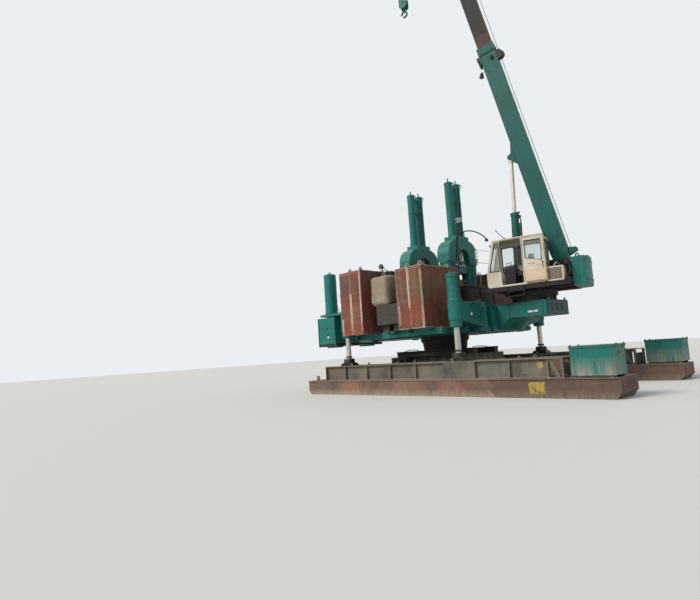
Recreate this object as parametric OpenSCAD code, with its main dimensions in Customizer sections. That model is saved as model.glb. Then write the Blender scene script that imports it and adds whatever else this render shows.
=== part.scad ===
// Walking jack-in pile driver rig with its own slewing crane.
// X runs along the long hulls, +X toward the crane. Z is up, ground at 0.
// The origin is the centre of the footprint, on the ground.

/* [Long hulls] */
// Length of a long walking hull
hull_len = 12560; // [12200:10:13400]
// Width of a long hull
hull_w = 1350; // [1250:10:1450]
// Depth of a long hull
hull_h = 560; // [480:10:640]
// Reach of the hulls past the pile axis, toward the crane
hull_reach = 7950; // [7800:10:8400]
// Length of the sloped bottom at each hull end
hull_bow = 140; // [100:10:300]
// Distance from the machine centre line to each leg line
leg_y = 3045; // [2980:5:3200]

/* [Trough girders] */
// Height of the trough girder's top above the ground
girder_top = 1135; // [1080:5:1200]
// Width of the trough girder over its flanges
girder_w = 1110; // [1080:5:1150]
// Distance from the pile axis to the girder's far end
girder_back = 3600; // [3560:10:3800]
// Number of web stiffeners
stiffener_count = 9; // [7:1:9]
// Length of open flange past the last stiffener
girder_tail = 450; // [400:10:480]
// Plate thickness of the girder webs and stiffeners
web_t = 25; // [16:1:32]
// Depth of the web stiffeners, web to flange edge
stiffener_d = 100; // [80:5:110]
// Height of the rails on the hull deck
rail_h = 40; // [30:5:60]

/* [Toolboxes] */
// Length of a toolbox
toolbox_len = 1140; // [900:10:1200]
// Depth of a toolbox
toolbox_d = 850; // [700:10:900]
// Height of a toolbox
toolbox_h = 860; // [600:10:900]
// Distance from the hull end to the toolbox
toolbox_inset = 90; // [60:10:160]
// Wall thickness of a toolbox
toolbox_t = 12; // [8:1:20]

/* [Legs] */
// Distance from the pile axis to each leg pair
leg_x = 2700; // [2650:5:2800]
// Radius of a leg rod
leg_rod_r = 100; // [85:1:110]
// Radius of a leg cylinder barrel
leg_barrel_r = 215; // [195:1:225]
// Height of the lower end of the barrels
leg_barrel_z = 2300; // [2260:5:2340]
// Length of a leg barrel
leg_barrel_len = 1800; // [1700:10:2000]
// Length of a trolley
trolley_len = 1100; // [900:10:1150]
// Radius of a trolley wheel
wheel_r = 160; // [140:2:175]

/* [Main body] */
// Underside of the main body
body_z = 2100; // [2080:5:2150]
// Depth of the main body
body_h = 950; // [900:10:1000]
// Width of the main body
body_w = 2300; // [2200:10:2360]
// Reach of the body away from the crane
body_back = 4100; // [4000:10:4200]
// Reach of the tail beam, to the crane end
tail_reach = 4960; // [4900:10:5100]
// Width of the tail beam
tail_w = 1600; // [1500:10:1700]
// Depth of the tail beam
tail_h = 520; // [480:10:600]
// Length of the pile well
well_x = 1260; // [1240:10:1280]
// Width of the pile well
well_y = 1500; // [1460:10:1520]
// Radius of the round pile guide under the well
guide_r = 350; // [300:5:360]

/* [Outrigger arms] */
// Distance from the body's side to the arm hinge pins
hinge_out = 250; // [240:5:300]
// Radius of a hinge pin
hinge_pin_r = 110; // [90:1:120]
// Radius of the hinge knuckles
knuckle_r = 225; // [200:5:240]
// Thickness of an arm
arm_t = 380; // [320:5:400]

/* [Ballast] */
// Thickness of one ballast slab
slab_t = 590; // [540:5:595]
// Width of a slab, across the machine
slab_w = 2300; // [2200:10:2340]
// Height of the slabs at the far end
slab_h_back = 2550; // [2300:10:2650]
// Height of the slabs at the crane end
slab_h_front = 2250; // [2000:10:2350]
// Outer face of the ballast from the centre line
ballast_y = 3600; // [3560:10:3700]
// Top of the racks that carry the ballast
rack_z = 2350; // [2300:5:2400]

/* [Pressing frames] */
// Distance from the pile axis to each pressing frame
frame_x = 1000; // [990:5:1060]
// Distance from the centre line to each frame column
column_y = 735; // [700:5:760]
// Radius of a frame column
column_r = 310; // [280:5:320]
// Height of the shoulders, where the crosshead starts
shoulder_z = 5050; // [4980:10:5200]
// Top of the crosshead
crosshead_z = 6120; // [6000:10:6250]
// Thickness of a crosshead
crosshead_t = 560; // [500:10:600]
// Radius of a pressing cylinder
press_r = 165; // [140:5:175]
// Length of a pressing cylinder
press_len = 2290; // [2200:10:2400]
// Distance from the centre line to each pressing cylinder
press_y = 270; // [260:5:280]
// Radius of a pressing rod
press_rod_r = 95; // [80:1:100]

/* [Clamp] */
// Length of the clamp box
clamp_x = 1100; // [1060:5:1120]
// Width of the clamp box
clamp_y = 1300; // [1200:10:1340]
// Height of the clamp box
clamp_h = 1150; // [1100:10:1200]
// Underside of the clamp box when raised
clamp_z = 3760; // [3740:5:3800]
// Radius of the opening through the clamp
clamp_r = 400; // [380:5:420]

/* [Side press] */
// Distance from the pile axis to the side press
side_x = 5665; // [5650:5:5750]
// Length of the side clamp box
side_len = 1190; // [1100:10:1200]
// Width of the side clamp box
side_w = 3200; // [3000:10:3300]
// Underside of the side clamp box
side_z = 1960; // [1940:5:2050]
// Height of the side clamp box
side_h = 1440; // [1360:10:1460]
// Distance from the centre line to each side cylinder
side_cyl_y = 1200; // [1150:10:1250]
// Radius of a side cylinder
side_cyl_r = 300; // [260:5:310]
// Length of a side cylinder
side_cyl_len = 1930; // [1900:10:2100]
// Radius of the side pile opening
side_bore_r = 230; // [180:5:240]

/* [Short shoes] */
// Distance from the pile axis to each short shoe
shoe_x = 1500; // [1480:10:1520]
// Width of a short shoe
shoe_w = 1100; // [1000:10:1110]
// Length of a short shoe, across the machine
shoe_len = 3200; // [3000:20:3240]
// Ground clearance of the short shoes
shoe_z = 220; // [180:5:240]
// Depth of a short shoe
shoe_h = 560; // [500:10:580]
// Radius of the turning ring under the body
turn_r = 1000; // [950:10:1050]

/* [Crane base] */
// Distance from the pile axis to the slewing centre
slew_x = 4100; // [4080:5:4180]
// Slew angle of the parked crane
park_slew = 14; // [0:1:20]
// Top of the slewing bearing
bearing_z = 3420; // [3400:5:3460]
// Top of the crane deck
deck_z = 3620; // [3610:5:3660]
// Half width of the crane deck
deck_y = 1200; // [1150:10:1250]
// Front edge of the deck, ahead of the slewing centre
deck_front = 1350; // [1330:5:1360]
// Rear edge of the deck, behind the slewing centre
deck_rear = 1480; // [1470:5:1500]

/* [Cab] */
// Length of the cab
cab_len = 2020; // [1990:10:2030]
// Width of the cab
cab_w = 860; // [820:5:870]
// Height of the cab
cab_h = 1700; // [1650:10:1800]
// Thickness of the cab walls and doors
cab_t = 40; // [30:1:45]
// Width of the door opening
door_w = 740; // [700:5:750]
// How far the front wall leans back at the roof
cab_lean = 270; // [200:10:290]

/* [Boom] */
// Distance from the slewing centre back to the boom foot pin
foot_x = 1160; // [1150:5:1200]
// Height of the boom foot pin
foot_z = 4200; // [4190:5:4250]
// Boom angle above the horizontal
boom_angle = 77.5; // [75:0.5:78]
// Length of the boom's base section
base_len = 9300; // [9100:50:9500]
// Length of middle section showing
mid_out = 6900; // [6500:50:7100]
// Length of tip section showing, to the head sheaves
tip_out = 6900; // [6500:50:7100]
// Depth of the base section
base_d = 620; // [600:5:640]
// Width of the base section
base_w = 400; // [380:5:410]
// Plate thickness of the boom sections
boom_t = 12; // [10:1:14]
// Radius of the head sheaves
sheave_r = 250; // [220:5:260]
// Height of the hook's lowest point
hook_z = 16000; // [15500:50:17500]

/* [Lift cylinder] */
// Distance from the slewing centre forward to the cylinder foot
lift_x = 480; // [460:5:500]
// Height of the cylinder foot pin
lift_z = 3950; // [3940:5:3980]
// Distance along the boom to the rod eye
lift_s = 4630; // [4600:10:4700]
// Distance from the boom's centre line to the rod eye
lift_t = 490; // [480:5:500]
// Radius of the lift cylinder
lift_r = 140; // [130:2:145]
// Radius of the lift rod
lift_rod_r = 72; // [60:1:76]

/* [Hidden] */
$fn = 48;

// Clearances between pieces
slide_gap = 0.5;   // a rod in its gland, a section on its pads
seat_gap = 0.3;    // a wheel on its rail
clear = 40;        // free space around what moves

// Colours as on the machine
teal = [0.10, 0.42, 0.37];
cream = [0.86, 0.84, 0.78];
rust = [0.42, 0.24, 0.18];
steel = [0.36, 0.33, 0.30];
chrome = [0.78, 0.77, 0.74];
dark = [0.13, 0.13, 0.14];
concrete = [0.66, 0.60, 0.50];
glass = [0.55, 0.66, 0.68, 0.4];

// Where things lie
hull_back = hull_len - hull_reach;
left_reach = side_x + side_len / 2 + 20;
pile_x = (left_reach - hull_reach) / 2;
open_deck = 250;   // free deck between a girder and its toolbox
girder_front = hull_reach - toolbox_inset - toolbox_len - open_deck - girder_tail;
stiffener_pitch = (girder_front + girder_back) / (stiffener_count - 1);
body_top = body_z + body_h;
hinge_y = body_w / 2 + hinge_out;
rail_z = hull_h + rail_h;
axle_z = rail_z + wheel_r + seat_gap;
leg_foot_z = girder_top + 190;
leg_top_z = leg_barrel_z + leg_barrel_len;
arm_top = body_top + 100;

// Frames of reference
module at_pile() translate([pile_x, 0, 0]) children();
module at_crane() translate([pile_x + slew_x, 0, 0]) rotate([0, 0, park_slew]) children();
module at_boom() at_crane() translate([foot_x, 0, foot_z]) rotate([0, boom_angle - 90, 0]) children();
module both_sides() { children(); mirror([0, 1, 0]) children(); }
module both_ends() { children(); mirror([1, 0, 0]) children(); }

// A box given by its low corner and its high corner
module block(a, b) translate(a) cube([b[0] - a[0], b[1] - a[1], b[2] - a[2]]);
// A profile drawn in X and Z, centred on y with the given width
module side_plate(y, w) translate([0, y + w / 2, 0]) rotate([90, 0, 0]) linear_extrude(w) children();
// A profile drawn in Y and Z, centred on x with the given width
module cross_plate(x, w)
    translate([x - w / 2, 0, 0]) rotate([90, 0, 90]) linear_extrude(w) children();
// A rectangle with round corners, from corner a to corner b
module round_rect(a, b, r) {
    translate([a[0] + r, a[1]]) square([b[0] - a[0] - 2 * r, b[1] - a[1]]);
    translate([a[0], a[1] + r]) square([b[0] - a[0], b[1] - a[1] - 2 * r]);
    for (x = [a[0] + r, b[0] - r], y = [a[1] + r, b[1] - r]) translate([x, y]) circle(r);
}
// A bar of radius r along Y, centred on the middle line
module cross_bar(x, z, r, w) translate([x, 0, z]) rotate([90, 0, 0]) cylinder(r = r, h = w, center = true);

// Long hulls

deck_lip = 30;
lug_t = 40;
module long_hull() {
    x0 = -hull_back;
    x1 = hull_reach;
    toe = hull_h * 0.3;
    side_plate(0, hull_w) polygon([[x0 + hull_bow, 0], [x1 - hull_bow, 0], [x1, toe],
        [x1, hull_h], [x0, hull_h], [x0, toe]]);
    block([x0, -hull_w / 2 - deck_lip, hull_h - deck_lip], [x1, hull_w / 2 + deck_lip, hull_h]);
    for (y = [-1, 1] * (girder_w / 2 - stiffener_d - 2 * web_t - 130))
        block([-girder_back, y - 35, hull_h], [girder_front + girder_tail, y + 35, rail_z]);
    for (y = [-1, 1] * hull_w / 4) tow_lug(x0 + 260, y);
}
module tow_lug(x, y) side_plate(y, lug_t) difference() {
    union() {
        translate([x, hull_h + 110]) circle(90);
        translate([x - 90, hull_h]) square([180, 110]);
    }
    translate([x, hull_h + 110]) circle(40);
}
module hull_near() color(rust) at_pile() translate([0, -leg_y, 0]) long_hull();
module hull_far() color(rust) at_pile() translate([0, leg_y, 0]) long_hull();

// Trough girders: a web each side, stiffened outside, under a flat flange

flange_t = 30;
flange_w = stiffener_d + 2 * web_t;
module girder_wall() {
    y1 = girder_w / 2;
    web_y = y1 - stiffener_d - web_t;
    x0 = -girder_back;
    x1 = girder_front;
    block([x0, web_y, hull_h], [x1, web_y + web_t, girder_top - flange_t]);
    block([x0, y1 - flange_w, girder_top - flange_t], [x1 + girder_tail, y1, girder_top]);
    block([x0, web_y, hull_h], [x1 + girder_tail, y1, hull_h + web_t]);
    for (i = [0:stiffener_count - 1]) {
        x = x0 + i * stiffener_pitch;
        block([x - web_t / 2 + (i == 0 ? web_t / 2 : 0), web_y, hull_h],
            [x + web_t / 2 + (i == 0 ? web_t / 2 : 0), y1, girder_top - flange_t]);
    }
    block([x0 + 5 * stiffener_pitch, y1 - web_t, hull_h],
        [x0 + 6 * stiffener_pitch, y1, girder_top - flange_t]);
    side_plate(y1 - stiffener_d / 2, web_t) polygon([[x1, girder_top - flange_t],
        [x1 + 110, girder_top - flange_t], [x1 + girder_tail * 0.75, hull_h + web_t],
        [x1 + girder_tail * 0.75 - 110, hull_h + web_t]]);
    block([x1 + girder_tail - 60, web_y, hull_h], [x1 + girder_tail, y1, girder_top - flange_t]);
}
module trough_girder() {
    both_sides() girder_wall();
    y1 = girder_w / 2 - stiffener_d;
    block([-girder_back, -y1, hull_h + rail_h], [-girder_back + web_t, y1, girder_top - 150]);
    block([girder_front + girder_tail - web_t, -y1, hull_h + rail_h],
        [girder_front + girder_tail, y1, girder_top - 150]);
}
module girder_near() color(steel) at_pile() translate([0, -leg_y, 0]) trough_girder();
module girder_far() color(steel) at_pile() translate([0, leg_y, 0]) trough_girder();

// Toolboxes: open steel bins with a rim, on skids at the hull ends

skid_h = 60;
module toolbox() {
    x1 = hull_reach - toolbox_inset;
    x0 = x1 - toolbox_len;
    y0 = -hull_w / 2 + 30;
    y1 = y0 + toolbox_d;
    z0 = hull_h + skid_h;
    z1 = hull_h + toolbox_h;
    difference() {
        block([x0, y0, z0], [x1, y1, z1]);
        block([x0 + toolbox_t, y0 + toolbox_t, z0 + toolbox_t],
            [x1 - toolbox_t, y1 - toolbox_t, z1 + 1]);
    }
    for (y = [y0 + 60, y1 - 140]) block([x0 + 40, y, hull_h], [x1 - 40, y + 80, z0]);
    for (y = [y0 - 20, y1]) block([x0 - 20, y, z1 - 60], [x1 + 20, y + 20, z1]);
    for (x = [x0 - 20, x1]) block([x, y0, z1 - 60], [x + 20, y1, z1]);
}
module toolbox_near() color(teal) at_pile() translate([0, -leg_y, 0]) toolbox();
module toolbox_far() color(teal) at_pile() translate([0, leg_y, 0]) mirror([0, 1, 0]) toolbox();

// Leg rods with ball feet, and the trolleys that roll in the troughs

ball_r = 150;
rod_top = leg_top_z - 850;
module leg_rod() {
    translate([0, 0, leg_foot_z]) cylinder(r = leg_rod_r, h = rod_top - leg_foot_z);
    translate([0, 0, leg_foot_z]) sphere(ball_r);
    translate([0, 0, rod_top]) cylinder(r = leg_rod_r + 25, h = 80);
}
module trolley() {
    l = trolley_len / 2;
    top_z = leg_foot_z - 95;
    side_plate(0, 420) polygon([[-l, axle_z - 60], [l, axle_z - 60], [l, axle_z + 80],
        [260, top_z], [-260, top_z], [-l, axle_z + 80]]);
    for (x = [-1, 1] * (l - wheel_r - 30)) {
        cross_bar(x, axle_z, 55, 700);
        for (y = [-1, 1] * wheel_y) translate([x, y, axle_z]) rotate([90, 0, 0])
            rotate_extrude() polygon([[0, -50], [wheel_r, -50], [wheel_r, 50], [70, 50], [60, 65], [0, 65]]);
    }
    translate([0, 0, top_z]) cylinder(r1 = 250, r2 = 215, h = 150);
}
module seated_trolley() difference() {
    trolley();
    translate([0, 0, leg_foot_z]) sphere(ball_r);
}
wheel_y = girder_w / 2 - stiffener_d - 2 * web_t - 130;
module legs_at(side) at_pile() for (x = [-1, 1] * leg_x) translate([x, side * leg_y, 0]) children();
module leg_rods_near() color(chrome) legs_at(-1) leg_rod();
module leg_rods_far() color(chrome) legs_at(1) leg_rod();
module trolleys_near() color(dark) legs_at(-1) seated_trolley();
module trolleys_far() color(dark) legs_at(1) seated_trolley();

// Leg cylinders, hung in the outrigger sleeves by a flange

module leg_barrel() difference() {
    union() {
        translate([0, 0, leg_barrel_z]) cylinder(r = leg_barrel_r, h = leg_barrel_len);
        translate([0, 0, leg_barrel_z - 20]) cylinder(r = leg_barrel_r - 40, h = 60);
        translate([0, 0, arm_top]) cylinder(r = leg_barrel_r + 30, h = 60);
        translate([0, 0, arm_top + 60]) cylinder(r1 = leg_barrel_r + 30, r2 = leg_barrel_r, h = 50);
        translate([0, 0, leg_top_z - 90]) cylinder(r = leg_barrel_r + 15, h = 90);
        translate([0, 0, leg_top_z]) cylinder(r = 70, h = 40);
    }
    translate([0, 0, leg_barrel_z + 180])
        cylinder(r = leg_rod_r + 27, h = leg_barrel_len - 260);
    translate([0, 0, leg_barrel_z - 21]) cylinder(r = leg_rod_r + slide_gap, h = 220);
}
module leg_barrels() color(teal) for (side = [-1, 1]) legs_at(side) leg_barrel();

// Main body: a box with the pile well through it

ear_h = 180;
body_front = leg_x + 300;
panel_len = 1200;
module body_profile() polygon([[-body_back, body_z + 120], [-body_back + 300, body_z],
    [body_front, body_z], [body_front, body_top], [-body_back, body_top]]);
module main_body() color(teal) at_pile() difference() {
    union() {
        side_plate(0, body_w - 60) body_profile();
        side_plate(0, body_w) difference() {
            body_profile();
            for (x = [-body_back + 420, -leg_x + 950, leg_x - 1550]) translate([x, body_z + 70])
                square([panel_len, body_h - 140]);
        }
        block([-body_back, -body_w / 2 - 30, body_top - 40],
            [body_front, body_w / 2 + 30, body_top]);
        for (x = [-1, 1] * leg_x, y = [-1, 1], z = [body_z, body_top - 70])
            hinge_ear(x, y, z);
    }
    block([-well_x / 2, -well_y / 2, body_z + 120], [well_x / 2, well_y / 2, body_top + 1]);
    translate([0, 0, body_z - 1]) cylinder(r = guide_r, h = 122);
    for (x = [-1, 1] * leg_x, y = [-1, 1] * hinge_y)
        translate([x, y, body_z - 1]) cylinder(r = hinge_pin_r, h = body_h + ear_h);
}
module hinge_ear(x, side, z) {
    translate([x, side * hinge_y, z]) cylinder(r = knuckle_r, h = ear_h);
    translate([x - knuckle_r, side > 0 ? body_w / 2 - 100 : -hinge_y, z])
        cube([2 * knuckle_r, hinge_y - body_w / 2 + 100, ear_h]);
}

// Tail beam under the crane, narrower than the body, its underside rising to the beam

haunch = 460;
module tail_profile(t) polygon([[body_front, body_z + 30 + t],
    [body_front + haunch, body_top - tail_h + t], [tail_reach - t, body_top - tail_h + t],
    [tail_reach - t, body_top - t], [body_front, body_top - t]]);
module tail_beam() color(teal) at_pile() {
    side_plate(0, tail_w - 50) tail_profile(0);
    side_plate(0, tail_w) difference() {
        tail_profile(0);
        tail_profile(25);
    }
    for (x = [body_front, body_front + haunch, slew_x - 820, slew_x + 620])
        block([x, -tail_w / 2, body_top - tail_h], [x + 25, tail_w / 2, body_top]);
}

// Outrigger arms: tapered box arms from the hinge to the leg sleeve

sleeve_r = leg_barrel_r + 25;
module outrigger_arm() difference() {
    union() {
        cross_plate(0, arm_t - 60) arm_outline();
        cross_plate(0, arm_t) difference() {
            arm_outline();
            polygon([[hinge_y + 330, body_z + 330], [leg_y - 420, body_z + 520],
                [leg_y - 420, arm_top - 60], [hinge_y + 330, arm_top - 60]]);
        }
        translate([0, leg_y, arm_low]) cylinder(r = sleeve_r, h = arm_top - arm_low);
        translate([0, hinge_y, body_z + ear_h]) cylinder(r = knuckle_r, h = body_h - 70 - ear_h);
    }
    translate([0, leg_y, body_z])
        cylinder(r = leg_barrel_r + seat_gap, h = arm_top - body_z + 1);
    translate([0, hinge_y, body_z]) cylinder(r = hinge_pin_r, h = body_h + 200);
    translate([-400, 0, body_top - 70]) cube([800, hinge_y + knuckle_r + 20, 200]);
}
arm_low = body_z + 420;
module arm_outline() polygon([[hinge_y, body_z + ear_h], [hinge_y + 300, body_z + ear_h],
    [leg_y, arm_low], [leg_y, arm_top], [hinge_y + 100, arm_top], [hinge_y, body_top - 70]]);
module outrigger_arms() color(teal) at_pile() both_sides() both_ends()
    translate([leg_x, 0, 0]) outrigger_arm();

// Hinge pins with flanged heads

module hinge_pins() color(dark) at_pile() both_sides() both_ends() translate([leg_x, hinge_y, 0]) {
    translate([0, 0, body_z]) cylinder(r = hinge_pin_r, h = body_h + ear_h - 70);
    translate([0, 0, body_top + ear_h - 70]) cylinder(r = hinge_pin_r + 45, h = 35);
    translate([0, 0, body_z - 35]) cylinder(r = hinge_pin_r + 35, h = 35);
}

// Ballast racks: beams along the body, on brackets from its sides

rack_h = 230;
rack_x0 = -leg_x + 320;
rack_x1 = leg_x - 480;
bracket_x = [-2100, -1350, 100, 780, 1700];
back_beam_y = ballast_y - 1000;
stack_x0 = -500;
module ballast_rack() {
    block([rack_x0, body_w / 2 + 250, rack_z - rack_h], [rack_x1, body_w / 2 + 430, rack_z]);
    block([rack_x0, back_beam_y - 90, rack_z - rack_h], [stack_x0, back_beam_y + 90, rack_z]);
    block([stack_x0 - 160, ballast_y - 650, rack_z - rack_h], [rack_x1, ballast_y - 470, rack_z]);
    for (x = bracket_x) {
        tip_y = x < stack_x0 ? back_beam_y + 150 : ballast_y - 200;
        cross_plate(x, 160) polygon([[body_w / 2, body_z + 20],
            [tip_y - 270, rack_z - 130], [tip_y, rack_z - 60],
            [tip_y, rack_z], [body_w / 2, rack_z]]);
    }
}
module ballast_racks() color(teal) at_pile() both_sides() ballast_rack();

// Ballast slabs: two thick slabs at each end of each side, with lifting eyes

// Each row: far end of the group, slab height
slab_groups = [[-leg_x + 280, slab_h_back], [leg_x - 2100, slab_h_front]];
slab_gap = 20;
module ballast_slab(h) {
    y0 = ballast_y - slab_w;
    chamfer = 25;
    cross_plate(slab_t / 2, slab_t) polygon([[y0, rack_z], [ballast_y, rack_z],
        [ballast_y, rack_z + h - chamfer], [ballast_y - chamfer, rack_z + h], [y0, rack_z + h]]);
    for (y = [y0 + 350, ballast_y - 350]) translate([slab_t / 2, y, rack_z + h])
        rotate([90, 0, 90]) translate([0, 0, -20]) linear_extrude(40) difference() {
            union() { translate([0, 60]) circle(75); translate([-75, 0]) square([150, 60]); }
            translate([0, 60]) circle(35);
        }
}
module ballast_slabs() color(rust) at_pile() both_sides() for (g = slab_groups, i = [0, 1])
    translate([g[0] + i * (slab_t + slab_gap), 0, 0]) ballast_slab(g[1]);

// Steel spacer stacks between the slab groups, and the concrete blocks on them

stack_x1 = 560;
stack_h = 1000;
stack_depth = 1920;
foot_h = 260;
stack_top = rack_z + stack_h;
block_x = -295;
block_l = 890;
block_w = 1200;
block_h = 1150;
block_r = 150;
module spacer_stacks() color(steel) at_pile() both_sides() {
    for (x = [stack_x0 + 120, stack_x1 - 420])
        block([x, ballast_y - stack_depth, rack_z], [x + 300, ballast_y - 250, rack_z + foot_h]);
    block([stack_x0, ballast_y - 60 - stack_depth, rack_z + foot_h],
        [stack_x1, ballast_y - 60, stack_top]);
}
module concrete_blocks() color(concrete) at_pile() both_sides() difference() {
    translate([block_x, ballast_y - block_w / 2, stack_top]) linear_extrude(block_h)
        round_rect([-block_l / 2, -block_w / 2], [block_l / 2, block_w / 2], block_r);
    for (s = [-1, 1]) {
        translate([block_x + s * block_l / 2, ballast_y - block_w / 2, stack_top + block_h])
            rotate([0, 45, 0]) cube([block_r, block_w + block_r, block_r], center = true);
        translate([block_x, ballast_y - block_w / 2 + s * block_w / 2, stack_top + block_h])
            rotate([45, 0, 0]) cube([block_l + block_r, block_r, block_r], center = true);
    }
}

// Work lamp on a tripod, with its switch box

lamp_z = stack_top + block_h;
module work_lamps() color(dark) at_pile() translate([-470, -ballast_y + 520, lamp_z]) {
    for (a = [90, 210, 330]) rotate([0, 0, a]) translate([110, 0, 0]) {
        cylinder(r = 28, h = 16);
        translate([0, 0, 10]) rotate([0, -35, 0]) cylinder(r = 12, h = 170);
    }
    translate([0, 0, 120]) cylinder(r = 20, h = 250);
    translate([0, 0, 385]) rotate([65, 0, 0]) {
        translate([0, 0, -40]) cylinder(r1 = 50, r2 = 92, h = 110);
        translate([0, 0, 70]) cylinder(r = 100, h = 25);
    }
    block([-160, 190, 0], [260, 420, 220]);
}

// Pressing frames: two columns under a bell-shaped crosshead

rod_hole = press_rod_r + 8;
module crosshead_outline() {
    outer = column_y + column_r;
    neck = press_y + press_r + 20;
    bend = outer - neck;
    rise = crosshead_z - shoulder_z - 410;
    bell_r = (bend * bend + rise * rise) / (2 * bend);
    translate([-outer, shoulder_z]) square([2 * outer, 250]);
    for (s = [-1, 1]) intersection() {
        translate([s * (outer - bell_r), shoulder_z + 250]) circle(bell_r, $fn = 128);
        translate([s > 0 ? neck : -outer, shoulder_z + 250]) square([bend, rise + 100]);
    }
    translate([-neck, shoulder_z]) square([2 * neck, crosshead_z - shoulder_z]);
}
module press_frame() difference() {
    union() {
        for (y = [-1, 1] * column_y) translate([0, y, body_top]) {
            cylinder(r = column_r, h = shoulder_z - body_top + 200);
            cylinder(r = column_r + 40, h = 40);
            translate([0, 0, shoulder_z - body_top - 90]) cylinder(r = column_r + 30, h = 90);
        }
        cross_plate(0, crosshead_t) crosshead_outline();
    }
    gap = column_y - column_r;
    cross_plate(0, crosshead_t + 2) {
        translate([-gap, shoulder_z - 600]) square([2 * gap, 700]);
        translate([0, shoulder_z + 100]) circle(gap, $fn = 96);
    }
    for (y = [-1, 1] * press_y) translate([0, y, shoulder_z])
        cylinder(r = rod_hole, h = crosshead_z - shoulder_z + 1);
}
module press_frames() color(teal) at_pile()
    for (x = [-1, 1] * frame_x) translate([x, 0, 0]) press_frame();

// Pressing cylinders, standing on the crossheads

module press_cylinder() difference() {
    union() {
        cylinder(r = press_r, h = press_len);
        cylinder(r = press_r + 12, h = 70);
        translate([0, 0, press_len - 80]) cylinder(r = press_r + 8, h = 80);
        translate([0, 0, press_len]) cylinder(r1 = press_r - 20, r2 = 70, h = 60);
        translate([0, 0, press_len + 60]) cylinder(r = 24, h = 110);
        translate([press_r - 10, 0, press_len - 60]) rotate([0, 90, 0]) cylinder(r = 22, h = 60);
    }
    translate([0, 0, -1]) cylinder(r = press_rod_r + slide_gap, h = 150);
    translate([0, 0, 140]) cylinder(r = press_rod_r + 25, h = press_len - 200);
}
module press_cylinders() color(teal) at_pile() for (x = [-1, 1] * frame_x, y = [-1, 1] * press_y)
    translate([x, y, crosshead_z]) press_cylinder();

// Clamp box with its four jaws, hung from the pressing rods by its lugs

lug_h = 300;
clamp_top = clamp_z + clamp_h;
module clamp_box() color(teal) at_pile() difference() {
    union() {
        block([-clamp_x / 2, -clamp_y / 2, clamp_z], [clamp_x / 2, clamp_y / 2, clamp_top]);
        translate([0, 0, clamp_top]) cylinder(r = clamp_r + 90, h = 60);
        block([-frame_x - 150, -360, clamp_top - lug_h], [frame_x + 150, 360, clamp_top]);
        both_sides() for (x = [-250, 250], z = [clamp_z + 320, clamp_z + 780])
            translate([x, clamp_y / 2, z]) rotate([-90, 0, 0]) cylinder(r = 105, h = 30);
    }
    translate([0, 0, clamp_z - 1]) cylinder(r = clamp_r, h = clamp_h + 62);
}
rod_z1 = crosshead_z + press_len - 200;
module press_rods() color(chrome) at_pile() for (x = [-1, 1] * frame_x, y = [-1, 1] * press_y)
    translate([x, y, clamp_top]) {
        cylinder(r = press_rod_r, h = rod_z1 - clamp_top);
        cylinder(r = press_rod_r + 40, h = 60);
        translate([0, 0, rod_z1 - clamp_top - 80]) cylinder(r = press_rod_r + 20, h = 80);
    }

// Side press: its frame reaches out from the body's end over the side clamp

side_plate_z = side_z + side_h + 60;
knee_x = -side_x + side_len / 2 + 20 + clear;
module side_cylinder() difference() {
    union() {
        cylinder(r = side_cyl_r, h = side_cyl_len);
        cylinder(r = side_cyl_r + 25, h = 70);
        translate([0, 0, side_cyl_len]) cylinder(r1 = side_cyl_r, r2 = side_cyl_r - 60, h = 40);
    }
    translate([0, 0, -1]) cylinder(r = 120 + slide_gap, h = 130);
    translate([0, 0, 120]) cylinder(r = 160, h = side_cyl_len - 200);
}
module side_press_frame() color(teal) at_pile() {
    difference() {
        union() {
            block([-side_x - 420, -side_w / 2 + 20, side_plate_z],
                [-body_back - 500, side_w / 2 - 20, side_plate_z + 110]);
            both_sides() side_plate(side_cyl_y - 400, 60) polygon([[-body_back, body_z + 150],
                [-body_back, body_top], [-body_back - 400, side_plate_z + 110],
                [knee_x, side_plate_z + 110], [knee_x, side_plate_z - 400]]);
        }
        for (y = [-1, 1] * side_cyl_y)
            translate([-side_x, y, side_plate_z - 1]) cylinder(r = 125, h = 200);
        translate([-side_x, 0, side_plate_z - 1]) cylinder(r = side_bore_r + 60, h = 200);
    }
    for (y = [-1, 1] * side_cyl_y) translate([-side_x, y, side_plate_z + 110]) side_cylinder();
}
module side_clamp() color(teal) at_pile() difference() {
    union() {
        block([-side_x - side_len / 2, -side_w / 2, side_z + 60],
            [-side_x + side_len / 2, side_w / 2, side_z + side_h]);
        for (y = [-1, 1] * 1100)
            block([-side_x - 350, y - 200, side_z], [-side_x + 350, y + 200, side_z + 60]);
        for (y = [-1, 1] * side_w / 2, x = [-1, 1] * (side_len / 2 - 10))
            translate([-side_x + x, y, side_z + 60]) cylinder(r = 30, h = side_h - 60);
    }
    translate([-side_x, 0, side_z - 1]) cylinder(r = side_bore_r, h = side_h + 2);
}
side_rod_len = side_cyl_len - 230;
module side_rods() color(chrome) at_pile() for (y = [-1, 1] * side_cyl_y)
    translate([-side_x, y, side_z + side_h]) {
        cylinder(r = 120, h = side_rod_len);
        translate([0, 0, side_rod_len]) cylinder(r = 150, h = 70);
    }

// Turning carriage and short shoes under the body

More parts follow.
